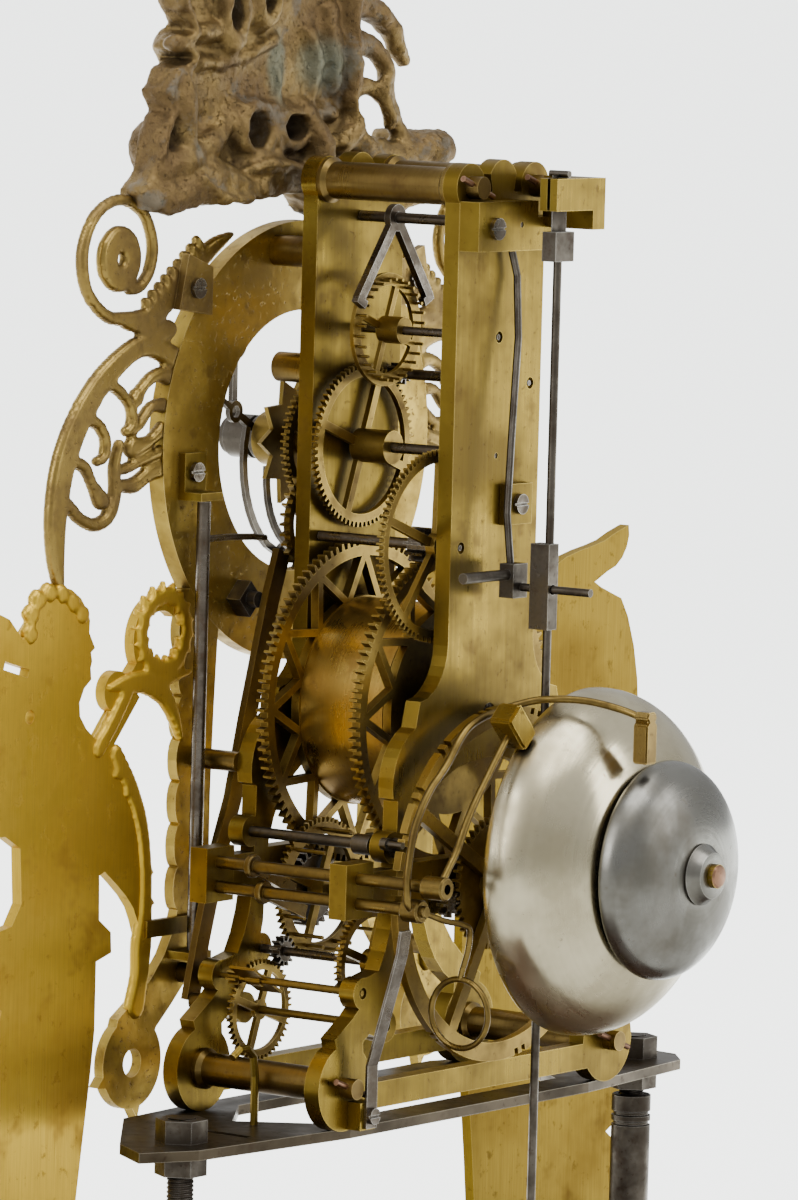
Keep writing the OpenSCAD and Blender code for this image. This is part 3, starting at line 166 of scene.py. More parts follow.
# Old metal: slow tarnish, brush lines, dark flecks, rubbed edges, and grime with painted shade in corners.
# Scales are in features per metre, brush stretches them along each axis, depth is in metres.
# Each look names only what differs from the usual metal.
# Dark tone, reach and share of the corner darkening: grime together with painted shade.
usualMetal = {"flecks": 0.5, "dirtAndShadeReach": 0.008, "dirtAndShadeShare": 0.6, "rubbed": 5, "depth": 0.00003}
metalLooks = {
    "plateBrass": {
        "bright": (0.32, 0.22, 0.031), "dull": (0.18, 0.12, 0.015), "fleck": (0.11, 0.06, 0.014),
        "edge": (0.66, 0.49, 0.14), "dirtAndShadeTone": (0.05, 0.032, 0.012), "brush": (900, 160, 40),
        "tarnishScale": 26, "fleckScale": 420, "flecks": 0.55, "rough": (0.27, 0.44), "dirtAndShadeReach": 0.012,
        "dirtAndShadeShare": 0.75, "depth": 0.00004},
    "movementBrass": {
        "bright": (0.36, 0.245, 0.055), "dull": (0.19, 0.125, 0.027), "fleck": (0.10, 0.055, 0.016),
        "edge": (0.62, 0.45, 0.13), "dirtAndShadeTone": (0.05, 0.032, 0.012), "brush": (300, 300, 300),
        "tarnishScale": 40, "fleckScale": 520, "rough": (0.3, 0.5), "dirtAndShadeShare": 0.8},
    "drumBrass": {
        "bright": (0.62, 0.41, 0.095), "dull": (0.40, 0.245, 0.052), "fleck": (0.20, 0.10, 0.03),
        "edge": (0.70, 0.50, 0.18), "dirtAndShadeTone": (0.04, 0.025, 0.012), "brush": (60, 1500, 60),
        "tarnishScale": 34, "fleckScale": 420, "flecks": 0.45, "rough": (0.26, 0.42), "dirtAndShadeReach": 0.009,
        "dirtAndShadeShare": 0.75, "rubbed": 4},
    "giltSheet": {
        "bright": (0.80, 0.54, 0.055), "dull": (0.62, 0.39, 0.036), "fleck": (0.30, 0.155, 0.022),
        "edge": (0.95, 0.72, 0.18), "dirtAndShadeTone": (0.20, 0.11, 0.02), "brush": (2600, 2600, 60),
        "tarnishScale": 20, "fleckScale": 230, "flecks": 0.4, "rough": (0.4, 0.52), "dirtAndShadeReach": 0.004,
        "dirtAndShadeShare": 0.4, "rubbed": 4, "depth": 0.00005},
    # The left figure's copy of the gilt sheet, at about half the brightness: painted shade.
    "shadedSheet": {
        "bright": (0.40, 0.27, 0.024), "dull": (0.31, 0.195, 0.016), "fleck": (0.15, 0.078, 0.012),
        "edge": (0.60, 0.45, 0.10), "dirtAndShadeTone": (0.10, 0.055, 0.01), "brush": (2600, 2600, 60),
        "tarnishScale": 20, "fleckScale": 230, "flecks": 0.4, "rough": (0.54, 0.64), "dirtAndShadeReach": 0.004,
        "dirtAndShadeShare": 0.4, "rubbed": 4, "depth": 0.00005},
    "giltCasting": {
        "bright": (0.66, 0.46, 0.09), "dull": (0.39, 0.26, 0.048), "fleck": (0.14, 0.078, 0.022),
        "edge": (0.92, 0.72, 0.30), "dirtAndShadeTone": (0.06, 0.036, 0.014), "brush": (260, 260, 260),
        "tarnishScale": 48, "fleckScale": 620, "flecks": 0.7, "rough": (0.32, 0.52), "depth": 0.00016},
    "agedCasting": {
        "bright": (0.42, 0.29, 0.075), "dull": (0.22, 0.148, 0.05), "fleck": (0.12, 0.072, 0.028),
        "edge": (0.72, 0.54, 0.25), "dirtAndShadeTone": (0.06, 0.042, 0.024), "brush": (260, 260, 260),
        "tarnishScale": 60, "fleckScale": 560, "flecks": 0.7, "rough": (0.32, 0.52), "dirtAndShadeShare": 0.65,
        "depth": 0.0002},
    "pillarBrass": {
        "bright": (0.26, 0.178, 0.052), "dull": (0.145, 0.095, 0.028), "fleck": (0.09, 0.05, 0.018),
        "edge": (0.55, 0.40, 0.14), "dirtAndShadeTone": (0.04, 0.026, 0.01), "brush": (90, 1400, 90),
        "tarnishScale": 44, "fleckScale": 500, "rough": (0.28, 0.46), "dirtAndShadeShare": 0.7, "rubbed": 4},
    "wireBrass": {
        "bright": (0.24, 0.165, 0.045), "dull": (0.13, 0.088, 0.025), "fleck": (0.08, 0.045, 0.016),
        "edge": (0.66, 0.50, 0.22), "dirtAndShadeTone": (0.03, 0.02, 0.01), "brush": (500, 500, 500),
        "tarnishScale": 70, "fleckScale": 620, "rough": (0.28, 0.46), "dirtAndShadeReach": 0.006, "rubbed": 4},
    "darkSteel": {
        "bright": (0.15, 0.135, 0.11), "dull": (0.065, 0.056, 0.044), "fleck": (0.05, 0.03, 0.018),
        "edge": (0.42, 0.40, 0.36), "dirtAndShadeTone": (0.015, 0.012, 0.01), "brush": (500, 500, 500),
        "tarnishScale": 60, "fleckScale": 700, "flecks": 0.6, "rough": (0.3, 0.52), "dirtAndShadeReach": 0.006,
        "dirtAndShadeShare": 0.7},
    "rubbedSteel": {
        "bright": (0.20, 0.18, 0.15), "dull": (0.085, 0.072, 0.054), "fleck": (0.08, 0.045, 0.025),
        "edge": (0.62, 0.60, 0.56), "dirtAndShadeTone": (0.02, 0.016, 0.012), "brush": (1400, 90, 1400),
        "tarnishScale": 90, "fleckScale": 800, "flecks": 0.3, "rough": (0.22, 0.44), "dirtAndShadeReach": 0.006,
        "dirtAndShadeShare": 0.7},
    "brownedPlate": {
        "bright": (0.11, 0.088, 0.058), "dull": (0.055, 0.044, 0.028), "fleck": (0.045, 0.028, 0.016),
        "edge": (0.40, 0.36, 0.28), "dirtAndShadeTone": (0.02, 0.016, 0.012), "brush": (200, 200, 200),
        "tarnishScale": 30, "fleckScale": 300, "flecks": 0.6, "rough": (0.3, 0.5), "dirtAndShadeReach": 0.01,
        "rubbed": 6, "depth": 0.00004},
    "copperPin": {
        "bright": (0.36, 0.20, 0.12), "dull": (0.20, 0.11, 0.07), "fleck": (0.10, 0.05, 0.03),
        "edge": (0.55, 0.34, 0.22), "dirtAndShadeTone": (0.04, 0.02, 0.012), "brush": (300, 300, 300),
        "tarnishScale": 90, "fleckScale": 700, "rough": (0.32, 0.5), "dirtAndShadeReach": 0.004, "rubbed": 4},
}


def metalFinish(name, look):
    look = {**usualMetal, **look}
    material, finish = newFinish(name)
    place = finish.place()
    tarnish = finish.patches(place, look["tarnishScale"], 4, 0.6, 0.38, 0.66)
    lines = finish.grain(place, look["brush"], 2, 0.5)
    fleck = finish.patches(place, look["fleckScale"], 4, 0.7, 0.58, 0.70)
    stain = finish.patches(place, look["tarnishScale"] * 2.7, 3, 0.65, 0.56, 0.72)
    tone = finish.blend(tarnish, look["bright"], look["dull"])
    tone = finish.blend((lines - 0.5) * 0.9 + 0.5, tone, finish.blend(0.5, tone, look["fleck"]))
    tone = finish.blend(fleck * look["flecks"], tone, look["fleck"])
    tone = finish.blend(stain * 0.5, tone, look["fleck"])
    rub = finish.spread(finish.edges(0.0005) * look["rubbed"], 0.1, 1.0)
    tone = finish.blend(rub * 0.6, tone, look["edge"])
    # Corners and hollows darkened by ambient occlusion: partly grime, partly painted shade.
    dirtAndShadeMask = finish.spread(finish.hollows(look["dirtAndShadeReach"]), 0.25, 0.9)
    tone = finish.blend(dirtAndShadeMask * look["dirtAndShadeShare"], tone, look["dirtAndShadeTone"])
    low, high = look["rough"]
    rough = low + tarnish * (high - low) + fleck * 0.14 + stain * 0.08 + dirtAndShadeMask * 0.15 - rub * 0.06
    rough = rough + (lines - 0.5) * 0.12
    height = lines * 0.6 + fleck * -0.5 + tarnish * 0.2
    finish.shade({"Base Color": tone, "Metallic": 1.0, "Roughness": rough,
                  "Normal": finish.bump(height, look["depth"])})
    return material


# Bells: turned rings about their own axis, clouded and spotted.
bellLooks = {
    "bigBell": {"bright": (0.67, 0.60, 0.41), "dull": (0.43, 0.375, 0.24), "spot": (0.20, 0.165, 0.11),
                "edge": (0.78, 0.75, 0.66), "rough": (0.17, 0.34), "rings": 900, "cloudScale": 30},
    "smallBell": {"bright": (0.255, 0.25, 0.225), "dull": (0.14, 0.132, 0.11), "spot": (0.12, 0.095, 0.065),
                  "edge": (0.56, 0.55, 0.50), "rough": (0.22, 0.40), "rings": 1100, "cloudScale": 42},
}
bellAxis = (-0.012, 0.0, 0.212)


def bellFinish(name, look):
    material, finish = newFinish(name)
    place = finish.place()
    away = finish.vector("MULTIPLY", finish.vector("SUBTRACT", place, bellAxis), (1, 0, 1))
    radius = finish.vector("LENGTH", away, (0, 0, 0), "Value")
    rings = finish.add("ShaderNodeTexNoise", {"noise_dimensions": "1D"},
                       {"W": radius, "Scale": look["rings"], "Detail": 2})
    cloud = finish.patches(place, look["cloudScale"], 4, 0.6, 0.36, 0.68)
    spot = finish.patches(place, 260, 4, 0.72, 0.62, 0.73)
    smear = finish.spread(finish.grain(place, (60, 60, 14), 3, 0.6), 0.5, 0.72)
    tone = finish.blend(cloud, look["bright"], look["dull"])
    tone = finish.blend((rings - 0.3) * 0.22, tone, look["dull"])
    tone = finish.blend(spot * 0.5, tone, look["spot"])
    tone = finish.blend(smear * 0.25, tone, look["spot"])
    tone = finish.blend(finish.spread(finish.edges(0.0006) * 5, 0.1, 1.0) * 0.5, tone, look["edge"])
    # Hollows darkened by ambient occlusion: partly grime, partly painted shade.
    dirtAndShadeMask = finish.spread(finish.hollows(0.012), 0.3, 0.95)
    tone = finish.blend(dirtAndShadeMask * 0.7, tone, (0.07, 0.055, 0.04))
    low, high = look["rough"]
    rough = low + cloud * (high - low) + spot * 0.12 + smear * 0.08 + (rings - 0.5) * 0.12
    finish.shade({"Base Color": tone, "Metallic": 1.0, "Roughness": rough,
                  "Normal": finish.bump(rings * 0.8 + spot * -0.4, 0.000015)})
    return material


bronzeLook = {"brown": (0.155, 0.10, 0.044), "ochre": (0.25, 0.17, 0.062), "dark": (0.035, 0.025, 0.016),
              "verdigris": (0.13, 0.16, 0.125), "ash": (0.17, 0.155, 0.12), "depth": 0.0005,
              "green": [(0.015, 0.4395, 2.2, 0.8),
                        (-0.006, 0.4405, 0.8, 1.1)]}  # x, z and how narrow each is


def bronzeFinish():
    material, finish = newFinish("crestBronze")
    place = finish.place()
    cloud = finish.patches(place, 34, 4, 0.62, 0.35, 0.66)
    skin = finish.noise(place, 330, 5, 0.7)
    pits = finish.patches(place, 620, 4, 0.7, 0.55, 0.72)
    crust = finish.patches(place, 46, 5, 0.72, 0.56, 0.66)
    tone = finish.blend(cloud, bronzeLook["ochre"], bronzeLook["brown"])
    tone = finish.blend(finish.spread(skin, 0.45, 0.75) * 0.5, tone, bronzeLook["dark"])
    tone = finish.blend(pits * 0.5, tone, bronzeLook["dark"])
    tone = finish.blend(crust * 0.55, tone, finish.blend(pits, bronzeLook["ash"], bronzeLook["verdigris"]))
    for x, z, narrow, low in bronzeLook["green"]:
        off = finish.vector("MULTIPLY", finish.vector("SUBTRACT", place, (x, 0, z)), (narrow, 0, low))
        near = finish.spread(finish.vector("LENGTH", off, (0, 0, 0), "Value") + skin * 0.008, 0.016, 0.008)
        tone = finish.blend(near * 0.6, tone, bronzeLook["verdigris"])
    # Hollows darkened by ambient occlusion: partly grime, partly painted shade.
    dirtAndShadeMask = finish.spread(finish.hollows(0.012), 0.25, 0.85)
    tone = finish.blend(dirtAndShadeMask * 0.75, tone, bronzeLook["dark"])
    rub = finish.spread(finish.edges(0.0008) * 4, 0.15, 1.0)
    tone = finish.blend(rub * 0.5, tone, (0.60, 0.43, 0.16))
    finish.shade({"Base Color": tone, "Metallic": 1 - crust * 0.6 - dirtAndShadeMask * 0.3,
                  "Roughness": 0.42 + cloud * 0.1 + crust * 0.25 + dirtAndShadeMask * 0.15,
                  "Normal": finish.bump(skin + pits * -0.5, bronzeLook["depth"])})
    return material


woodLook = {"light": (0.115, 0.055, 0.026), "dark": (0.032, 0.015, 0.009)}


def woodFinish():
    material, finish = newFinish("plinthWood")
    place = finish.place()
    sway = finish.noise(place, 9, 2, 0.5)
    grain = finish.grain(place, (7, 160, 160), 5, 0.6)
    pores = finish.spread(finish.grain(place, (60, 1500, 1500), 2, 0.6), 0.6, 0.75)
    tone = finish.blend(finish.spread(grain + sway * 0.3, 0.45, 0.85), woodLook["light"], woodLook["dark"])
    tone = finish.blend(pores * 0.6, tone, (0.012, 0.006, 0.004))
    tone = finish.blend(finish.spread(finish.edges(0.001) * 4, 0.1, 1.0) * 0.35, tone, (0.21, 0.11, 0.055))
    finish.shade({"Base Color": tone, "Roughness": 0.3 + pores * 0.25 + grain * 0.08,
                  "Coat Weight": 0.5 - pores * 0.3,
                  "Coat Roughness": 0.12, "Normal": finish.bump(grain + pores * -0.8, 0.00008)})
    return material


def enamelFinish():
    material, finish = newFinish("dialEnamel")
    place = finish.place()
    cloud = finish.noise(place, 30, 3, 0.6)
    craze = finish.add("ShaderNodeTexVoronoi", {"feature": "DISTANCE_TO_EDGE"},
                       {"Vector": place, "Scale": 160})
    line = 1 - finish.spread(craze, 0.0, 0.035)
    tone = finish.blend(finish.spread(cloud, 0.35, 0.7), (0.86, 0.83, 0.74), (0.78, 0.74, 0.63))
    tone = finish.blend(line * 0.22, tone, (0.35, 0.28, 0.18))
    # Painted shade: ambient occlusion darkens the enamel in corners and beside raised parts.
    tone = finish.blend(finish.spread(finish.hollows(0.004), 0.3, 0.9) * 0.3, tone, (0.3, 0.24, 0.15))
    finish.shade({"Base Color": tone, "Roughness": 0.2 + cloud * 0.08, "Coat Weight": 0.4,
                  "Coat Roughness": 0.08,
                  "Normal": finish.bump(cloud + line * -0.3, 0.00004)})
    return material


def inkFinish():
    material, finish = newFinish("dialInk")
    place = finish.place()
    wear = finish.patches(place, 900, 4, 0.7, 0.55, 0.75)
    tone = finish.blend(wear * 0.5, (0.018, 0.017, 0.02), (0.12, 0.10, 0.08))
    finish.shade({"Base Color": tone, "Roughness": 0.35 + wear * 0.2,
                  "Normal": finish.bump(wear * -1.0, 0.00002)})
    return material


finishes = {name: metalFinish(name, look) for name, look in metalLooks.items()}
finishes.update({name: bellFinish(name, look) for name, look in bellLooks.items()})
finishes["crestBronze"] = bronzeFinish()
finishes["plinthWood"] = woodFinish()
finishes["dialEnamel"] = enamelFinish()
finishes["dialInk"] = inkFinish()

nodeFinish = {
    "plateBrass": ["front_plate", "back_plate", "back_cock", "brackets", "bell_stand"],
    "pillarBrass": ["pillars", "dial_pillars", "side_strip"],
    "movementBrass": ["strike_great_wheel", "going_great_wheel", "intermediate_wheel", "centre_wheel",
                      "third_wheel",
                      "escape_wheel", "pin_wheel", "strike_wheel", "warning_wheel", "fly", "count_wheel",
                      "minute_wheel", "hour_wheel", "pendulum_bob"],
    "drumBrass": ["barrel"],
    # Both figures are one gilt sheet; the left one takes the darker copy as painted shade.
    "giltSheet": ["right_figure"], "shadedSheet": ["left_figure"],
    "giltCasting": ["dial_ring", "frame_legs", "plinth_feet"], "agedCasting": ["side_scrolls"],
    "darkSteel": ["studs", "nuts_and_bolts", "release_levers", "mainspring", "click", "cannon_pinion",
                  "hour_hand", "minute_hand", "crutch", "pendulum_rod", "detent"],
    "rubbedSteel": ["frame_screws", "hammer_springs", "lifting_rod", "barrel_arbor", "intermediate_arbor",
                    "centre_arbor", "third_arbor", "escape_arbor", "pin_wheel_arbor", "strike_arbor",
                    "pallets"],
    "brownedPlate": ["platform"], "copperPin": ["taper_pins"],
    "bigBell": ["big_bell"], "smallBell": ["small_bell"], "crestBronze": ["crest"],
    "plinthWood": ["plinth"], "dialEnamel": ["chapter_ring"],
    "wireBrass": ["hour_hammer", "quarter_hammer"],
}
for name, members in nodeFinish.items():
    for node in members:
        mesh = nodes[node].data
        mesh.materials.clear()
        mesh.materials.append(finishes[name])
print("finishes on", sum(map(len, nodeFinish.values())), "nodes")


def softRoute(stops, steps=6):  # a smooth run through the stops
    made = []
    for i in range(len(stops) - 1):
        a, b, c, d = (np.array(stops[max(0, min(len(stops) - 1, i + k))], float) for k in (-1, 0, 1, 2))
        for k in range(steps):
            t = k / steps
            bend = (2 * a - 5 * b + 4 * c - d) * t * t + (3 * b - a - 3 * c + d) * t ** 3
            made.append(0.5 * (2 * b + (c - a) * t + bend))
    made.append(np.array(stops[-1], float))
    return made


def awayFrom(x, z, route):  # distance to a broken line, and how far along it the nearest place is
    best = np.full(x.shape, 1e9)
    along = np.zeros(x.shape)
    for i, (a, b) in enumerate(zip(route, route[1:])):
        dx, dz = b[0] - a[0], b[1] - a[1]
        t = np.clip(((x - a[0]) * dx + (z - a[1]) * dz) / (dx * dx + dz * dz + 1e-9), 0, 1)
        near = np.hypot(x - a[0] - t * dx, z - a[1] - t * dz)
        along = np.where(near < best, (i + t) / (len(route) - 1), along)
        best = np.minimum(best, near)
    return best, along


def insideOf(x, z, outline):
    within = np.zeros(x.shape, bool)
    for (x0, z0), (x1, z1) in zip(outline, outline[1:] + outline[:1]):
        if z0 != z1:
            within ^= ((z0 > z) != (z1 > z)) & (x < (x1 - x0) * (z - z0) / (z1 - z0) + x0)
    return within


def rolls(x, z, ridges):  # rounded ridges along routes of (x, z, half width, height)
    total = np.zeros(x.shape)
    for stops in ridges:
        route = softRoute(stops)
        near, along = awayFrom(x, z, route)
        at = along * (len(route) - 1)
        wide = np.interp(at, range(len(route)), [r[2] for r in route])
        high = np.interp(at, range(len(route)), [r[3] for r in route])
        total = np.maximum(total, high * np.sqrt(np.clip(1 - (near / wide) ** 2, 0, 1)))
    return total


def wander(x, z, scale, seed=0.0):
    heights = [noise.noise(Vector((a * scale, b * scale, seed))) for a, b in zip(x.flat, z.flat)]
    return np.array(heights).reshape(x.shape)


def circleTurns(sides):
    return [2 * math.pi * k / sides for k in range(sides)]


def joinRings(bm, rings, looped=False):  # capped at both ends unless looped
    sides = len(rings[0])
    for low, high in zip(rings, rings[1:] + rings[:1] if looped else rings[1:]):
        for k in range(sides):
            bm.faces.new((low[k], low[(k + 1) % sides], high[(k + 1) % sides], high[k]))
    if not looped:
        bm.faces.new(list(reversed(rings[0])))
        bm.faces.new(rings[-1])


def addStem(bm, route, sides=10):  # route holds (x, d, z, radius)
    points = [spot(*stop[:3]) for stop in route]
    rings = []
    for i, (point, stop) in enumerate(zip(points, route)):
        along = (points[min(i + 1, len(points) - 1)] - points[max(i - 1, 0)]).normalized()
        side = along.cross(Vector((0, 1, 0))).normalized()
        other = along.cross(side)
        rings.append([bm.verts.new(point + (side * math.cos(a) + other * math.sin(a)) * stop[3] / 1000)
                      for a in circleTurns(sides)])
    joinRings(bm, rings)


def addLump(bm, centre, sizes):
    place = Matrix.Translation(spot(*centre))
    grow = Matrix.Diagonal((sizes[0] / 1000, sizes[1] / 1000, sizes[2] / 1000, 1))
    bmesh.ops.create_icosphere(bm, subdivisions=3, radius=1, matrix=place @ grow)


def addRelief(bm, look):  # a cast slab whose front and rear are height fields
    step, outline = look["step"], look["outline"]
    xs = [p[0] for p in outline]
    zs = [p[1] for p in outline]
    cols = np.arange(math.floor(min(xs) / step) - 1, math.ceil(max(xs) / step) + 2)
    rows = np.arange(math.floor(min(zs) / step) - 1, math.ceil(max(zs) / step) + 2)
    x, z = np.meshgrid(cols * step, rows * step, indexing="ij")
    edge, _ = awayFrom(x, z, [*outline, outline[0]])
    edge = np.where(insideOf(x, z, outline), edge, -edge) + wander(x, z, look["edgeScale"]) * look["ragged"]
    for cx, cz, rx, rz in look["windows"]:
        hole = (np.hypot((x - cx) / rx, (z - cz) / rz) - 1) * min(rx, rz)
        edge = np.minimum(edge, hole)
    front = look["front"] - rolls(x, z, look["frontRolls"]) - wander(x, z, look["frontScale"], 7) * 1.2
    rear = look["rear"] + rolls(x, z, look["rearRolls"])
    rear = rear + wander(x, z, look["rearScale"], 3) * np.clip((282 - z) / 10, 0.35, 1.6)
    rear = np.maximum(rear, look["rear"] + look["rim"] * np.sqrt(np.clip(1 - (edge - 1.6) ** 2 / 9, 0, 1)))
    addSkin(bm, x, z, front, rear, edge > 0)


def addSkin(bm, x, z, front, rear, kept):
    corners = {}

    def corner(i, k, side):
        if (i, k, side) not in corners:
            corners[i, k, side] = bm.verts.new(spot(x[i, k], (front, rear)[side][i, k], z[i, k]))
        return corners[i, k, side]
    full = kept[:-1, :-1] & kept[1:, :-1] & kept[:-1, 1:] & kept[1:, 1:]
    cells = {(i, k) for i, k in zip(*np.nonzero(full))}
    for i, k in cells:
        square = [(i, k), (i + 1, k), (i + 1, k + 1), (i, k + 1)]
        bm.faces.new([corner(a, b, 0) for a, b in square])
        bm.faces.new([corner(a, b, 1) for a, b in reversed(square)])
        beyond = [(i, k - 1), (i + 1, k), (i, k + 1), (i - 1, k)]
        for (a, b), (c, d), other in zip(square, square[1:] + square[:1], beyond):
            if other not in cells:
                bm.faces.new((corner(c, d, 0), corner(a, b, 0), corner(a, b, 1), corner(c, d, 1)))


# Sheet work made of tapering strokes of (x, z, half width), with softened edges
def addSawn(bm, look, side):
    step = look["step"]
    stops = [stop for stroke in look["strokes"] for stop in stroke]
    low = [min(stop[i] for stop in stops) - 8 for i in (0, 1)]
    high = [max(stop[i] for stop in stops) + 8 for i in (0, 1)]
    x, z = np.meshgrid(np.arange(low[0], high[0], step), np.arange(low[1], high[1], step), indexing="ij")
    edge = np.full(x.shape, -9.0)
    for stroke in look["strokes"]:
        route = softRoute(stroke)
        near, along = awayFrom(x, z, route)
        edge = np.maximum(edge, np.interp(along * (len(route) - 1), range(len(route)),
                                          [r[2] for r in route]) - near)
    for cx, cz, radius in look["holes"]:
        edge = np.minimum(edge, np.hypot(x - cx, z - cz) - radius)
    slopeX, slopeZ = np.gradient(edge, step)
    near = np.abs(edge) < step * 0.5
    x = np.where(near, x - edge * slopeX, x)
    z = np.where(near, z - edge * slopeZ, z)
    inner = np.clip(edge / look["soft"], 0, 1)
    drop = look["crown"] * (1 - np.sqrt(1 - (1 - inner) ** 2))
    addSkin(bm, x * side, z, look["front"] + drop, look["rear"] - drop, edge > -step * 0.5)


def putObject(name, data):
    made = bpy.data.objects.new(name, data)
    bpy.context.scene.collection.objects.link(made)
    return made


def castForm(name, bm, voxel, smoothing):  # one skin over all the forms, as a founder's wax would be
    mesh = bpy.data.meshes.new(name)
    bm.to_mesh(mesh)
    bm.free()
    rough = putObject(name + "Rough", mesh)
    remesh = rough.modifiers.new("skin", "REMESH")
    remesh.mode = "VOXEL"
    remesh.voxel_size = voxel
    smooth = rough.modifiers.new("smooth", "SMOOTH")
    smooth.iterations = smoothing
    smooth.factor = 0.5
    made = bpy.data.meshes.new_from_object(rough.evaluated_get(bpy.context.evaluated_depsgraph_get()))
    bpy.data.objects.remove(rough)
    made.name = name
    return made


def roughen(mesh, layers):  # layers hold features per metre and height in millimetres
    moved = []
    for vertex in mesh.vertices:
        rise = sum(noise.noise(vertex.co * scale) * height for scale, height in layers) / 1000
        moved.append(vertex.co + vertex.normal * rise)
    for vertex, place in zip(mesh.vertices, moved):
        vertex.co = place


crestForm = {
    "outline": [(84, 266), (78, 271.5), (76, 277), (73.5, 285), (70.5, 290), (72, 296), (68, 302.7),
                (61, 305), (64.6, 307.5),
                (65.4, 310.5), (60.5, 312.5), (62.6, 315.6), (67, 321.3), (64, 331), (50, 338), (34, 343),
                (14, 346),
                (-6, 345), (-18, 339), (-24, 329), (-21, 320), (-21, 312.8), (-23, 304), (-22.2, 296.5),
                (-20, 292),
                (-22, 286), (-26.4, 280), (-34, 281.5), (-43, 279.3), (-47, 280), (-50.6, 283), (-60.8, 284),
                (-66, 279.6), (-65, 273), (-62, 262), (-44, 258), (-38, 247), (-30, 249.5), (-14, 255),
                (-2, 258),
                (6, 265), (16, 264.4), (28.6, 263.4), (36, 262), (45, 262.6), (59, 262), (68, 260),
                (74, 259.9), (80, 262)],
    "windows": [(28.2, 283.6, 5.4, 5.2), (9.8, 284, 4.6, 3.2), (39.4, 317.7, 2.4, 4.6),
                (24, 321.5, 2.6, 3.4)],
    "rear": -21.5, "front": -26.5, "rim": 5.5, "ragged": 0.9, "step": 0.8,
    # routes of (x, z, half width, height)
    "rearRolls": [
        [(82, 264, 6, 6), (68, 264, 8, 9.5), (52, 268, 8.5, 10), (36, 266, 7, 9), (22, 268, 7, 8.5),
         (6, 268, 6, 7)],
        [(79, 272, 5, 5), (66, 274, 6, 8), (52, 278, 5, 6), (42, 284, 4, 4), (36, 289.5, 2.5, 2.5)],
        [(60, 270, 3, 11), (50, 264, 3, 12), (38, 264, 2.6, 11)],
        [(34, 272, 3, 8), (22, 273.6, 3.6, 10), (10, 271, 3, 9), (-2, 264, 4, 8)],
        [(62, 303, 4, 4), (63.5, 293, 5, 7.5), (61.5, 282, 4.4, 6.5), (64, 273, 4, 7)],
        [(70, 300, 2.6, 6.5), (72, 293, 2.6, 7), (71.5, 286, 2.4, 6.5), (75, 277, 2.6, 6.5)],
        [(19, 290, 2.2, 4.5), (19.6, 283, 2.6, 5.5), (18, 276, 3, 6)],
        [(37, 291, 2.2, 3), (22, 290, 1.8, 2.5), (6, 289.5, 2, 3), (-12, 288, 2.4, 3.4)],
        [(52, 303, 2.4, 2.8), (40, 303.5, 2, 2.2), (28, 306, 2.2, 3), (18, 310, 2.4, 3.4)],
        [(54, 312, 3, 5), (44, 313, 3, 4), (34, 316, 3, 3.4), (28, 322, 3, 4)],
        [(3, 288, 5, 5.5), (-3, 279, 6.6, 8.4), (-3, 276, 6.6, 8.4)],
        [(-14, 279, 4, 7), (-20, 284, 4, 7.5), (-20, 292, 3.4, 6), (-19, 302, 3.4, 5.4),
         (-19, 312, 3.4, 5.4), (-17, 322, 3, 4)],
        [(-24, 279, 5, 7), (-36, 275, 6, 8), (-48, 276, 6, 9), (-58, 277.6, 7, 10), (-62, 275, 5, 8)],
        [(-20, 270, 5, 5), (-34, 268, 6, 6), (-50, 268, 6, 6)],
        [(-34, 254, 6, 4), (-20, 259, 6, 5), (-6, 263, 6, 6)],
        [(0, 312, 3, 2.4), (-4, 303, 3.4, 3.2), (-2, 294, 3, 3)],
        [(-10, 318, 4, 3), (-12, 306, 4, 3.6), (-12, 296, 3, 3)],
        [(14, 300, 1.8, 1.8), (15, 292, 2, 2.4)]],
    "edgeScale": 0.16, "frontScale": 0.11, "rearScale": 0.13,
    "lumps": [((-58, -16, 277.5), (7.5, 6, 6)), ((65, -20, 309), (3.4, 4, 3.4))],
    "voxel": 0.0009, "smoothing": 6, "skin": [(110, 0.9), (300, 0.5), (700, 0.22)],
}


def frontRolls():
    made = []
    for k in range(11):  # a fan of shell ribs
        turn = math.radians(6 + k * 16.8)
        reach = 42 + 5 * math.sin(math.radians(k * 18))
        made.append([(8 + 9 * math.cos(turn), 291 + 9 * math.sin(turn), 2, 4),
                     (8 + 0.6 * reach * math.cos(turn) * 1.2, 291 + 0.6 * reach * math.sin(turn), 4, 8),
                     (8 + reach * math.cos(turn) * 1.25, 291 + reach * math.sin(turn), 6.4, 6)])
    leaves = [[(2, 283, 4, 12), (22, 277, 5, 11), (44, 270, 5, 9), (58, 274, 4, 8), (58, 283, 3.4, 7),
               (50, 283, 2.6, 7)]]
    for x, size in ((14, 6), (25, 6.5), (36, 6), (47, 5)):
        leaves.append([(x - 3, 270, 2.4, 8), (x, 278, size, 9), (x + 4, 288, 2, 8)])
    leaves.append([(8, 270, 4, 8), (24, 265, 4, 8), (40, 264, 3, 7)])
    for side in (-1, 1):  # leaf scrolls under the fan
        for route in leaves:
            made.append([(8 + side * x, z, wide, high) for x, z, wide, high in route])
    made.append([(8, 277, 8, 13), (8, 287, 8.5, 15)])
    made.append([(8, 296, 5, 10), (8, 306, 4, 10)])
    return made


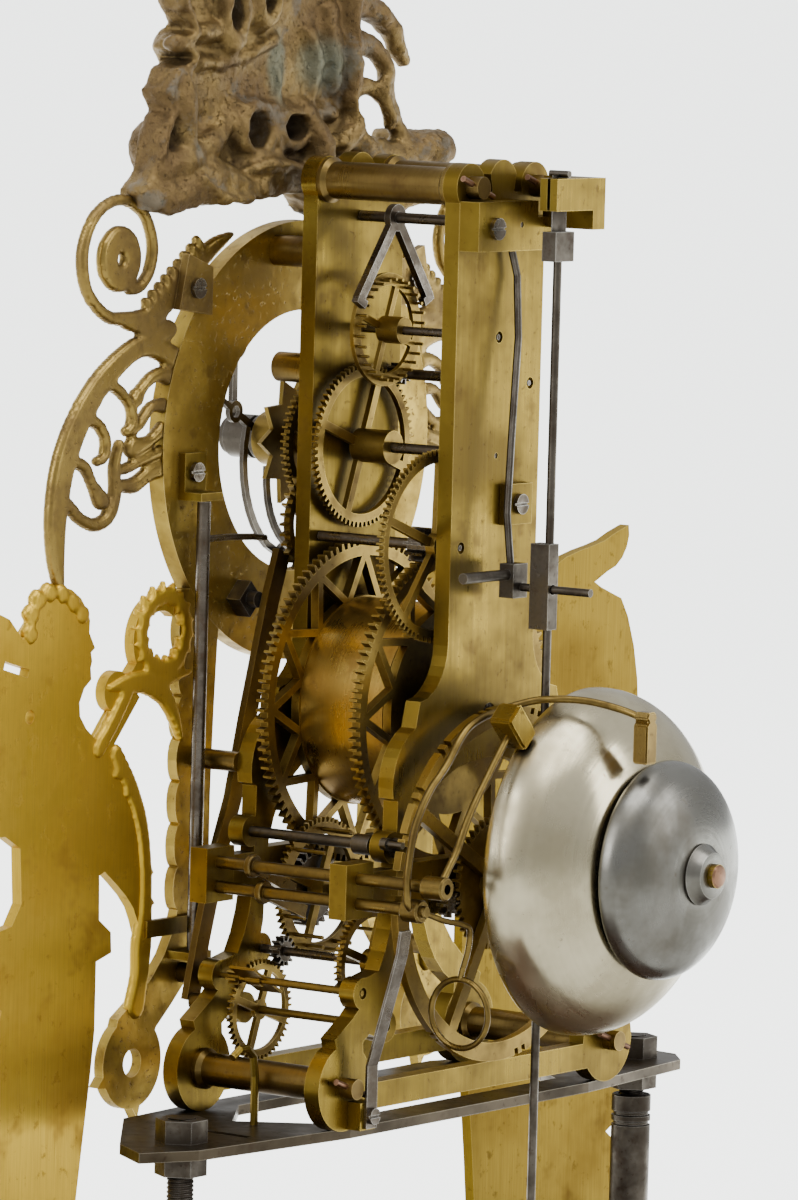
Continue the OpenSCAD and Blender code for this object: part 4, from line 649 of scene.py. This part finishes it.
crestStems = [  # (x, d, z, radius)
    [(-18, -22, 321, 4), (-28, -21, 320, 4.2), (-38, -20, 314.4, 4), (-43.5, -20, 308, 3.2),
     (-47.5, -20.5, 302.5, 2)],
    [(-18, -21, 309, 4.4), (-28, -20, 308, 3.6), (-35.5, -19, 302, 3.2), (-37, -19, 294, 3.2),
     (-41, -19, 286, 3), (-46, -19, 279, 3.6)],
    [(-20, -21, 294, 3.4), (-27, -20, 296.4, 2.8), (-35, -19, 293, 2.6)],
    [(-35.5, -18, 300, 2.4), (-33, -17, 293, 2.2), (-36.5, -17, 287, 2.6), (-37, -18, 283, 2)],
]


def crestMesh():
    bm = bmesh.new()
    addRelief(bm, {**crestForm, "frontRolls": frontRolls()})
    for route in crestStems:
        addStem(bm, [tuple(p) for p in softRoute(route)])
    for centre, sizes in crestForm["lumps"]:
        addLump(bm, centre, sizes)
    mesh = castForm("crestCasting", bm, crestForm["voxel"], crestForm["smoothing"])
    roughen(mesh, crestForm["skin"])
    for polygon in mesh.polygons:
        polygon.use_smooth = True
    return mesh


def addTurned(bm, centre, profile, sides=96, looped=True):  # profile holds (radius, d)
    rings = []
    for radius, d in profile:
        rings.append([bm.verts.new(spot(centre[0] + radius * math.cos(a), d,
                                        centre[1] + radius * math.sin(a)))
                      for a in circleTurns(sides)])
    joinRings(bm, rings, looped)


def addRod(bm, centre, radius, low, high, soft=0.3, sides=32):
    addTurned(bm, centre, [(radius - soft, low), (radius, low + soft), (radius, high - soft),
                           (radius - soft, high)],
              sides, False)


def addPrism(bm, outline, low, high):  # outline of (x, z), cut from depth low to depth high
    area = sum(a[0] * b[1] - b[0] * a[1] for a, b in zip(outline, outline[1:] + outline[:1]))
    if area < 0:
        outline = outline[::-1]
    near = [bm.verts.new(spot(x, high, z)) for x, z in outline]
    far = [bm.verts.new(spot(x, low, z)) for x, z in outline]
    bm.faces.new(list(reversed(near)))
    bm.faces.new(far)
    for i in range(len(outline)):
        k = (i + 1) % len(outline)
        bm.faces.new((near[i], near[k], far[k], far[i]))


def barOutline(p, q, width):
    dx, dz = q[0] - p[0], q[1] - p[1]
    reach = math.hypot(dx, dz)
    sx, sz = -dz / reach * width / 2, dx / reach * width / 2
    return [(p[0] + sx, p[1] + sz), (p[0] - sx, p[1] - sz), (q[0] - sx, q[1] - sz), (q[0] + sx, q[1] + sz)]


def closeMesh(name, bm, soft=None, angle=32):
    bmesh.ops.recalc_face_normals(bm, faces=bm.faces)
    if soft:
        sharp = [edge for edge in bm.edges if len(edge.link_faces) == 2
                 and edge.calc_face_angle() > math.radians(angle)]
        bmesh.ops.bevel(bm, geom=sharp, offset=soft / 1000, segments=2, affect="EDGES", clamp_overlap=True)
    mesh = bpy.data.meshes.new(name)
    bm.to_mesh(mesh)
    bm.free()
    for polygon in mesh.polygons:
        polygon.use_smooth = True
    mesh.set_sharp_from_angle(angle=math.radians(angle))
    return mesh


def addPiece(name, mesh, finish, body, stands=()):
    piece = putObject(name, mesh)
    mesh.materials.append(finishes[finish])
    for node in stands:
        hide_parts(node)
    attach(piece, body)


def around(centre, stops):  # stops of (radius, degrees, half width)
    return [(centre[0] + r * math.cos(math.radians(a)), centre[1] + r * math.sin(math.radians(a)), w) for r,
            a, w in stops]


scrollForm = {
    "front": -24.4, "rear": -20.9, "crown": 1.0, "soft": 1.5, "step": 0.55,
    "lug": [(46.4, 230), (62, 232), (58, 248), (46.4, 244)], "lugDepth": (-21.2, -18.6),
    "holes": [(86, 247, 1.5), (0, 191.33, 64.6)],  # the volute's eye, and room for the dial ring
    "strokes": [
        around((86, 247), [(21, -124, 2.8), (17.6, -100, 2.3), (17, -70, 2), (17, -30, 1.9), (17, 10, 1.9),
                           (17, 50, 1.8), (17, 90, 1.8),
                           (16.8, 130, 1.8), (16, 165, 1.8), (14.6, 195, 1.9), (12.6, 220, 2),
                           (10, 240, 2)]),
        [(86, 247.4, 9.4), (86, 246.6, 9.4)],
        [(88, 230.5, 1.6), (80, 228.6, 2.8), (73, 229.4, 3.6), (65, 234, 4.2), (57, 240, 4),
         (49, 245.4, 3.4), (41, 250, 2.6),
         (33.6, 253, 1)],
        *[[(72 - 2.9 * i, 233 + 2.15 * i, 2), (73 - 2.9 * i, 234.6 + 2.15 * i, 1.4)] for i in range(9)],
        [(60, 218, 3.6), (72, 221.6, 3.4), (82, 219, 3.6), (94, 211, 4.2), (103, 201, 4.6),
         (109.5, 189, 4.8), (112.4, 175, 4.4),
         (112.2, 163, 3.4), (110.6, 154.6, 2)],
        [(62, 226, 3), (70, 226, 3), (76, 228, 3)],
        [(91, 212, 2.2), (84, 208.6, 1.9), (79, 204, 1.8), (78.4, 199.6, 1.8), (81, 197, 1.6)],
        [(76.4, 207, 2.8), (76.8, 206.4, 2.8)],
        [(101, 202, 2.4), (94, 199.6, 2), (90.4, 195, 1.8), (91, 190.4, 1.8), (94, 189, 1.6)],
        [(107, 190, 2.2), (100, 187.6, 2), (96.4, 183, 1.8), (92.6, 178.4, 3), (92, 177.8, 3)],
        [(107, 177, 2.2), (101, 172.6, 2), (94, 170.8, 2.2), (88, 173.4, 2.4), (85.4, 180, 2.2),
         (86, 187, 1.9), (84, 193.6, 1.6)],
        [(61, 212, 3), (67, 213, 2.2), (73, 210.4, 1.9), (77, 206, 2)],
        [(64, 204, 2.4), (70, 203.6, 1.8), (75, 199, 1.8), (79, 197, 1.6)],
        [(63, 198, 2.6), (70, 194, 1.9), (76, 192.6, 2.8), (78.4, 192.2, 3)],
        [(62, 186, 3), (70, 184.4, 2.6), (77, 181.4, 2.6), (83, 181.6, 2)],
        [(64, 191, 2), (72, 189, 1.8), (80, 186.6, 1.8), (86, 186, 1.6)],
    ]}


def softenEdges(bm):
    for _ in range(3):
        bmesh.ops.smooth_vert(bm, verts=bm.verts, factor=0.5, use_axis_x=True, use_axis_y=True,
                              use_axis_z=True)


def scrollMesh():
    bm = bmesh.new()
    for side in (1, -1):
        addSawn(bm, scrollForm, side)
    softenEdges(bm)
    for side in (1, -1):
        addPrism(bm, [(x * side, z) for x, z in scrollForm["lug"]], *scrollForm["lugDepth"])
    return closeMesh("scrollWork", bm, None, 50)


# Carved trim on the figures: wreath, hand, sleeve, hair and the strap down to the foot
figureTrim = {
    "front": -23.4, "rear": -20.0, "crown": 0.9, "soft": 1.4, "step": 0.6, "holes": [],
    "strokes": [
        around((62.6, 138), [(10.6, a, 2.6) for a in range(0, 361, 24)]),
        *[around((62.6, 138), [(11, a, 1.7), (14.6, a + 9, 0.6)]) for a in range(0, 360, 20)],
        *[around((62.6, 138), [(10, a, 1.5), (7, a + 10, 0.5)]) for a in range(10, 360, 30)],
        [(88, 123.4, 1.4), (79, 124.2, 3.2), (70, 123.6, 3.6), (62, 119.6, 3.2), (57, 113.6, 2.4),
         (53.4, 106, 1)],
        [(66, 123, 2.6), (58, 124.6, 2.2), (49.6, 125.6, 0.9)], [(92, 106, 3), (86, 113, 3), (80, 121, 3)],
        *[[(x, z, 1.8), (x - 3.4, z - 1.4, 0.6)] for x,
          z in ((84, 98), (78.6, 92), (74, 85), (71, 77), (68.4, 69), (67.4, 60), (67.4, 51))],
        [(84, 104, 3), (77, 94, 3.2), (71.6, 83, 3), (69, 70, 2.8), (68.6, 57, 3), (69.4, 47, 4),
         (70, 38, 3.4), (72, 29, 4)],
        *[[(x, z, 3), (x + 0.8, z + 0.6, 2.8)] for x,
          z in ((124.2, 141), (123.8, 146.4), (120.8, 150.6), (115.8, 152.4), (110.4, 151.8),
                                                           (105.2, 149), (100.8, 145.4))],
    ]}


def trimMesh(side):
    bm = bmesh.new()
    addSawn(bm, figureTrim, side)
    softenEdges(bm)
    return closeMesh("figureTrim", bm, None, 50)


addPiece("scrollWork", scrollMesh(), "agedCasting", "frame", ["side_scrolls"])
# The left trim takes the darker gilt copy as painted shade.
for name, side, finish in (("rightFigureTrim", 1, "giltSheet"), ("leftFigureTrim", -1, "shadedSheet")):
    addPiece(name, trimMesh(side), finish, "frame")
print("scrolls and trim cut")
addPiece("crestCasting", crestMesh(), "crestBronze", "frame", ["crest"])
print("crest cast")


# Bells as spun bowls with a rounded lip, in millimetres and depths from the front plate
bells = {
    "big_bell": {"radius": 51, "rim": 78, "crown": 108, "finish": "bigBell"},
    "small_bell": {"radius": 32, "rim": 105, "crown": 119.4, "finish": "smallBell"},
}
bellShape = {"place": (-12, 74), "collar": 8, "hole": 3.52, "wall": 1.8, "steps": 44, "sides": 160}


def bowlLine(radius, rim, crown):
    turns = [math.pi / 2 * i / bellShape["steps"] for i in range(bellShape["steps"] + 1)]
    collar = bellShape["collar"]
    return [(collar + (radius - collar) * max(math.cos(a), 0) ** 1.1,
             rim + (crown - rim) * math.sin(a) ** 0.9) for a in turns]


def bellMesh(name, look):
    wall = bellShape["wall"]
    outer = bowlLine(look["radius"], look["rim"] + 0.7, look["crown"])
    inner = bowlLine(look["radius"] - wall, look["rim"] + 0.7, look["crown"] - wall)
    lip = [(look["radius"] - wall + 0.2, look["rim"] + 0.2), (look["radius"] - wall / 2, look["rim"]),
           (look["radius"] - 0.2, look["rim"] + 0.2)]
    hole = [(bellShape["hole"], look["crown"]), (bellShape["hole"], look["crown"] - wall)]
    bm = bmesh.new()
    addTurned(bm, bellShape["place"], outer + hole + inner[::-1] + lip, bellShape["sides"])
    return closeMesh(name, bm)


for name, look in bells.items():
    addPiece(name + "Bowl", bellMesh(name + "Bowl", look), look["finish"], "frame", [name])

# Small turned pieces on the bells, as (radius, d)
bossProfile = [(3.56, 119.46), (8.8, 119.46), (9, 120), (8.2, 120.8), (7.2, 122.6), (6.7, 123.5),
               (5.2, 123.7),
               (3.56, 123.7)]
studEndProfile = [(3.5, 124.2), (3.5, 125.3), (2.9, 125.9), (1.2, 126.2)]

bm = bmesh.new()
addTurned(bm, bellShape["place"], bossProfile, 64)
addPiece("bellBoss", closeMesh("bellBoss", bm), "smallBell", "frame")
bm = bmesh.new()
addTurned(bm, bellShape["place"], studEndProfile, 32, False)
addPiece("bellStudEnd", closeMesh("bellStudEnd", bm), "copperPin", "frame")


# Hammers: bent wires on turned arbors. Routes hold (x, d, z).
hammers = {
    "hour_hammer": {
        "arbor": ((62, 72.6), 1.8, -5.2, 82.4), "hub": (3.4, 74.6, 82.4), "tail": ((42.5, 64), 12, 14),
        "wires": [(1.1, [(61, 79.5, 74), (57.4, 79.5, 78.4), (53.6, 79.5, 83.2), (49.6, 79.5, 90.2),
                         (45.6, 79.5, 96),
                         (40.6, 79.5, 102), (35.2, 79.5, 108.4), (29.6, 79.5, 114.6)])]},
    "quarter_hammer": {
        "arbor": ((62, 65.4), 1.8, -5.2, 75.4), "hub": (3.4, 67.6, 74), "tail": ((42.3, 58), 16, 18),
        "ring": ((38.5, 71, 33.4), 10, 0.9),
        "wires": [(1.1, [(63.4, 71.5, 65.4), (65.9, 71.5, 67.6), (66.5, 71.5, 71.6), (66.4, 71.5, 77),
                         (64.2, 71.5, 87.4),
                         (60.8, 71.5, 94.2), (56.6, 71.5, 99.6), (51.8, 71.5, 103.6), (47.6, 71.5, 107.4),
                         (43, 71.5, 112.8), (38.4, 71.5, 116.4), (31.6, 71.5, 118.7), (25, 71.6, 119.8),
                         (19.2, 72.6, 121), (13.6, 77.2, 122.8), (10.8, 83.5, 123.5), (7.6, 90, 123.4),
                         (5, 96, 122.4), (3.4, 102, 121), (3, 107.4, 119.4)]),
                  (0.9, [(60, 71.5, 65.2), (55, 72, 63.4), (50, 73, 61.6), (43, 74.3, 60), (39.4, 74.4, 58),
                         (38.5, 73.4, 52),
                         (38.5, 71.6, 46), (38.5, 71, 43.4)])]},
}


def hammerMesh(look):
    bm = bmesh.new()
    centre, radius, low, high = look["arbor"]
    addRod(bm, centre, radius, low, high)
    addRod(bm, centre, *look["hub"], 0.5)
    tip, low, high = look["tail"]
    addPrism(bm, barOutline(tip, centre, 3.6), low, high)
    addRod(bm, centre, 3.4, low, high, 0.3)
    for radius, stops in look["wires"]:
        addStem(bm, [(*point, radius) for point in softRoute(stops, 5)], 14)
    return bm


def addRing(bm, centre, radius, thickness):  # lies across the clock
    place = spot(*centre)
    rings = []
    for turn in circleTurns(48):
        out = Vector((0, math.cos(turn), math.sin(turn)))
        rings.append([bm.verts.new(place + out * (radius + thickness * math.cos(a)) / 1000
                                   + Vector((thickness * math.sin(a) / 1000, 0, 0)))
                                   for a in circleTurns(12)])
    joinRings(bm, rings, True)


hourHead = {"radial": 12.5, "wide": 7.8, "place": (28, 79.5, 116.5), "towards": (-12, 74)}


def hourHeadMesh():
    x, d, z = hourHead["place"]
    out = Vector((x - hourHead["towards"][0], z - hourHead["towards"][1])).normalized()
    side = Vector((-out.y, out.x))
    bm = bmesh.new()
    half, wide = hourHead["radial"] / 2, hourHead["wide"] / 2
    corners = [(-half, -wide * 0.9), (-half, wide * 0.9), (-half * 0.5, wide), (half * 0.8, wide),
               (half, wide * 0.86),
               (half, -wide * 0.86), (half * 0.8, -wide), (-half * 0.5, -wide)]
    addPrism(bm, [(x + out.x * a + side.x * b, z + out.y * a + side.y * b) for a, b in corners], d - wide,
             d + wide)
    return closeMesh("hourHammerHead", bm, 0.7, 40)


for name, look in hammers.items():
    bm = hammerMesh(look)
    if "ring" in look:
        addRing(bm, *look["ring"])
    addPiece(name + "Wire", closeMesh(name + "Wire", bm), "wireBrass", name, [name])
addPiece("hourHammerHead", hourHeadMesh(), "plateBrass", "hour_hammer")
quarterHead = {"outline": [(0.4, 106.4), (5.6, 106.4), (5.6, 117.6), (4.6, 118.6), (5.4, 119.6),
                           (4.8, 121.4), (1.2, 121.4),
                           (0.6, 119.6), (1.4, 118.6), (0.4, 117.6)], "depths": (106, 111), "soft": 0.4}
bm = bmesh.new()
addPrism(bm, quarterHead["outline"], *quarterHead["depths"])
addPiece("quarterHammerHead", closeMesh("quarterHammerHead", bm, quarterHead["soft"]), "pillarBrass",
         "quarter_hammer")
print("bells and hammers made")


# Plinth: (inset from the widest outline, height), in millimetres from the ground
plinthForm = {"half": (186, 103), "profile": [
    (2, 12), (0, 13), (0, 19.6), (0.5, 20.8), (1.6, 21.6), (3.2, 22), (3.2, 23.2), (4.4, 24.2), (5.8, 26),
    (6.7, 28.4), (7, 31.4),
    (7, 36.4), (6.6, 38.4), (5.6, 39.8), (4.6, 40.4), (4.6, 41.4), (3.5, 41.9), (3.5, 46.2), (3.9, 48),
    (5, 49.4), (6.6, 50)]}


def plinthMesh():
    bm = bmesh.new()
    rings = []
    for inset, z in plinthForm["profile"]:
        halfX, halfY = (half - inset for half in plinthForm["half"])
        rings.append([bm.verts.new(Vector((sx * halfX, sy * halfY, z)) / 1000) for sx,
                      sy in ((-1, -1), (1, -1), (1, 1), (-1, 1))])
    joinRings(bm, rings)
    return closeMesh("plinthMoulding", bm, 0.25, 60)


addPiece("plinthMoulding", plinthMesh(), "plinthWood", "frame", ["plinth"])


# Threaded studs with a spacer tube on the left one; x and y in the row's frame
studForm = {"places": [(-113, -13), (113, -13)], "low": 13, "high": 145, "radius": 4, "pitch": 1.25,
            "depth": 0.55,
            "tube": [(4.1, 50.05), (6, 50.05), (6, 117), (5.4, 117.3), (5.4, 118.1), (6, 118.4), (6, 120),
                     (5.4, 120.3), (5.4, 121.1),
                     (6, 121.4), (6, 126.2), (5.6, 126.5), (4.1, 126.5)]}


def addThread(bm, x, y):
    sides, rows = 28, 4
    count = int((studForm["high"] - studForm["low"]) / studForm["pitch"] * rows)
    rings = []
    for j in range(count + 1):
        z = studForm["low"] + j * studForm["pitch"] / rows
        ring = []
        for k, turn in enumerate(circleTurns(sides)):
            phase = (j / rows - k / sides) % 1
            radius = studForm["radius"] - studForm["depth"] * abs(2 * phase - 1)
            ring.append(bm.verts.new(Vector((x + radius * math.cos(turn), y + radius * math.sin(turn),
                                             z)) / 1000))
        rings.append(ring)
    joinRings(bm, rings)


def studMesh():
    bm = bmesh.new()
    for x, y in studForm["places"]:
        addThread(bm, x, y)
    x, y = studForm["places"][0]
    rings = [[bm.verts.new(Vector((x + r * math.cos(a), y + r * math.sin(a), z)) / 1000)
              for a in circleTurns(48)] for r, z in studForm["tube"]]
    joinRings(bm, rings, True)
    return closeMesh("threadedStuds", bm)


addPiece("threadedStuds", studMesh(), "darkSteel", "frame", ["studs"])
print("plinth and studs made")


# Numerals and minute track on the dial's enamel
dialMarks = {"centre": (0, 191.33), "front": -29.1, "middle": 50.2, "tall": 10.4, "thick": 1.5, "thin": 0.5,
             "wide": {"I": 2.6, "V": 6.4, "X": 6.4}, "track": (57.2, 59.8), "trackDepths": (-29.05, -29.22),
             "lineHalf": 0.15,
             "rises": (0.12, 0.15, 0.18, 0.21), "serifIn": 0.2, "serifHalf": 0.25,
             "hours": ["XII", "I", "II", "III", "IV", "V", "VI", "VII", "VIII", "IX", "X", "XI"]}


def letterStrokes(letter, at):  # strokes of one letter as (from, to, width)
    half = dialMarks["tall"] / 2
    thick, thin = dialMarks["thick"], dialMarks["thin"]
    if letter == "I":
        return [((at, -half), (at, half), thick)]
    if letter == "V":
        return [((at - 2, half), (at, -half), thick), ((at + 2.2, half), (at + 0.5, -half), thin)]
    return [((at - 2, half), (at + 2, -half), thick), ((at + 2.2, half), (at - 2.2, -half), thin)]


def numeralMesh():
    bm = bmesh.new()
    middle = dialMarks["centre"]

    def put(points, turn, order):
        along, out = (math.cos(turn), -math.sin(turn)), (math.sin(turn), math.cos(turn))
        outline = [(middle[0] + along[0] * x + out[0] * (y + dialMarks["middle"]),
                    middle[1] + along[1] * x + out[1] * (y + dialMarks["middle"])) for x, y in points]
        addPrism(bm, outline, dialMarks["front"] - dialMarks["rises"][order % 4], dialMarks["front"] + 0.05)
    for hour, word in enumerate(dialMarks["hours"]):
        turn = math.pi * hour / 6
        wide = sum(dialMarks["wide"][letter] for letter in word)
        at = -wide / 2
        for letter in word:
            step = dialMarks["wide"][letter]
            for order, (a, b, width) in enumerate(letterStrokes(letter, at + step / 2)):
                put(barOutline(a, b, width), turn, order)
            at += step
        for sign in (-1, 1):
            edge = sign * (dialMarks["tall"] / 2 - 0.1)
            reach, half = wide / 2 - dialMarks["serifIn"], dialMarks["serifHalf"]
            put([(-reach, edge - half), (reach, edge - half), (reach, edge + half), (-reach, edge + half)],
                turn, 2)
    low, high = dialMarks["track"]
    under, over = dialMarks["trackDepths"]
    for radius in (low, high):
        near, far = radius - dialMarks["lineHalf"], radius + dialMarks["lineHalf"]
        addTurned(bm, middle, [(near, under), (far, under), (far, over), (near, over)], 180)
    for minute in range(60):
        turn = math.pi * minute / 30
        half = (0.7 if minute % 5 == 0 else 0.3) / 2
        inner, outer = low - dialMarks["middle"], high - dialMarks["middle"]
        put([(-half, inner), (half, inner), (half, outer), (-half, outer)], turn, 1)
    return closeMesh("dialNumerals", bm)


addPiece("dialNumerals", numeralMesh(), "dialInk", "frame")
print("dial marked")


cameraView = {
    "azimuth": 125.8957, "pitch": 5.4944, "roll": 1.5453,  # degrees, seen from behind the right side
    "distance": 2264.9, "aim": (0, 25.55, 140),
    "focalPixels": 7708.97, "centreShift": (21.41, 24.34), "imageHeight": 1200, "sensor": 36,
}


def makeCamera():
    a, e, roll = (math.radians(cameraView[k]) for k in ("azimuth", "pitch", "roll"))
    forward = -Vector((math.sin(a) * math.cos(e), -math.cos(a) * math.cos(e), math.sin(e)))
    right = forward.cross(Vector((0, 0, 1))).normalized()
    up = right.cross(forward)
    right, up = math.cos(roll) * right + math.sin(roll) * up, math.cos(roll) * up - math.sin(roll) * right
    eye = spot(*cameraView["aim"]) - forward * cameraView["distance"] / 1000
    pixels = cameraView["focalPixels"]
    shiftX, shiftY = cameraView["centreShift"]
    gaze = (forward - right * shiftX / pixels + up * shiftY / pixels).normalized()
    up = (up - gaze * up.dot(gaze)).normalized()
    right = gaze.cross(up)
    data = bpy.data.cameras.new("camera")
    data.sensor_width = cameraView["sensor"]
    data.lens = cameraView["sensor"] * pixels / cameraView["imageHeight"]
    data.clip_start, data.clip_end = 0.05, 60
    camera = putObject("camera", data)
    camera.matrix_world = Matrix.Translation(eye) @ Matrix((right, up, -gaze)).transposed().to_4x4()
    bpy.context.scene.camera = camera


# Places and sizes in metres, power in watts
lamps = {
    "overhead": {"place": (0.2, 0.5, 2.2), "size": (1.6, 1.6), "power": 30},
    "leftWindow": {"place": (1.7, -0.4, 1.1), "size": (0.9, 1.5), "power": 17},
    "rightWindow": {"place": (-0.9, 1.9, 1.2), "size": (1.0, 1.4), "power": 16},
    "frontFill": {"place": (-0.6, -1.9, 1.2), "size": (1.4, 1.4), "power": 14},
}
lampTarget = Vector((0, 0, 0.3))
roomTones = {"top": (0.95, 0.96, 0.97), "wall": (0.62, 0.63, 0.64), "low": (0.34, 0.34, 0.33),
             "strength": 0.82}


def makeLight():
    for name, lamp in lamps.items():
        data = bpy.data.lights.new(name, "AREA")
        data.shape = "RECTANGLE"
        data.size, data.size_y = lamp["size"]
        data.energy = lamp["power"]
        light = putObject(name, data)
        light.location = lamp["place"]
        light.rotation_euler = (lampTarget - Vector(lamp["place"])).to_track_quat("-Z", "Y").to_euler()
    world = bpy.data.worlds.new("studio")
    bpy.context.scene.world = world
    world.use_nodes = True
    world.node_tree.nodes.clear()
    room = Finish(world.node_tree)
    height = room.add("ShaderNodeSeparateXYZ", {}, {0: room.add("ShaderNodeTexCoord", {}, {}, "Generated")},
                      "Z")
    tone = room.ramp(height * 0.5 + 0.5, [(0.3, roomTones["low"]), (0.5, roomTones["wall"]),
                                          (0.85, roomTones["top"])])
    glow = room.add("ShaderNodeBackground", {}, {"Color": tone, "Strength": roomTones["strength"]})
    room.add("ShaderNodeOutputWorld", {}, {"Surface": glow})


# The floor runs on as a lit sweep behind the clock, as a photographer's paper does.
sweep = {"heading": (-0.81, -0.586, 0.0), "from": 0.12, "to": 0.6, "glow": 2.75, "half": 300}


def makeFloor():
    half = sweep["half"]
    mesh = bpy.data.meshes.new("floor")
    mesh.from_pydata([(-half, -half, 0), (half, -half, 0), (half, half, 0), (-half, half, 0)], [],
                     [(0, 1, 2, 3)])
    floor = putObject("floor", mesh)
    material, paper = newFinish("paleFloor")
    behind = paper.spread(paper.vector("DOT_PRODUCT", paper.place(), sweep["heading"], "Value"),
                          sweep["from"], sweep["to"])
    tone = paper.blend(behind, (0, 0, 0), (0.97, 1.0, 0.98))
    paper.shade({"Base Color": (0.82, 0.83, 0.81), "Roughness": 0.9, "Specular IOR Level": 0.1,
                 "Emission Color": tone, "Emission Strength": sweep["glow"]})
    mesh.materials.append(material)


makeCamera()
makeLight()
makeFloor()
print("camera, light and floor placed")
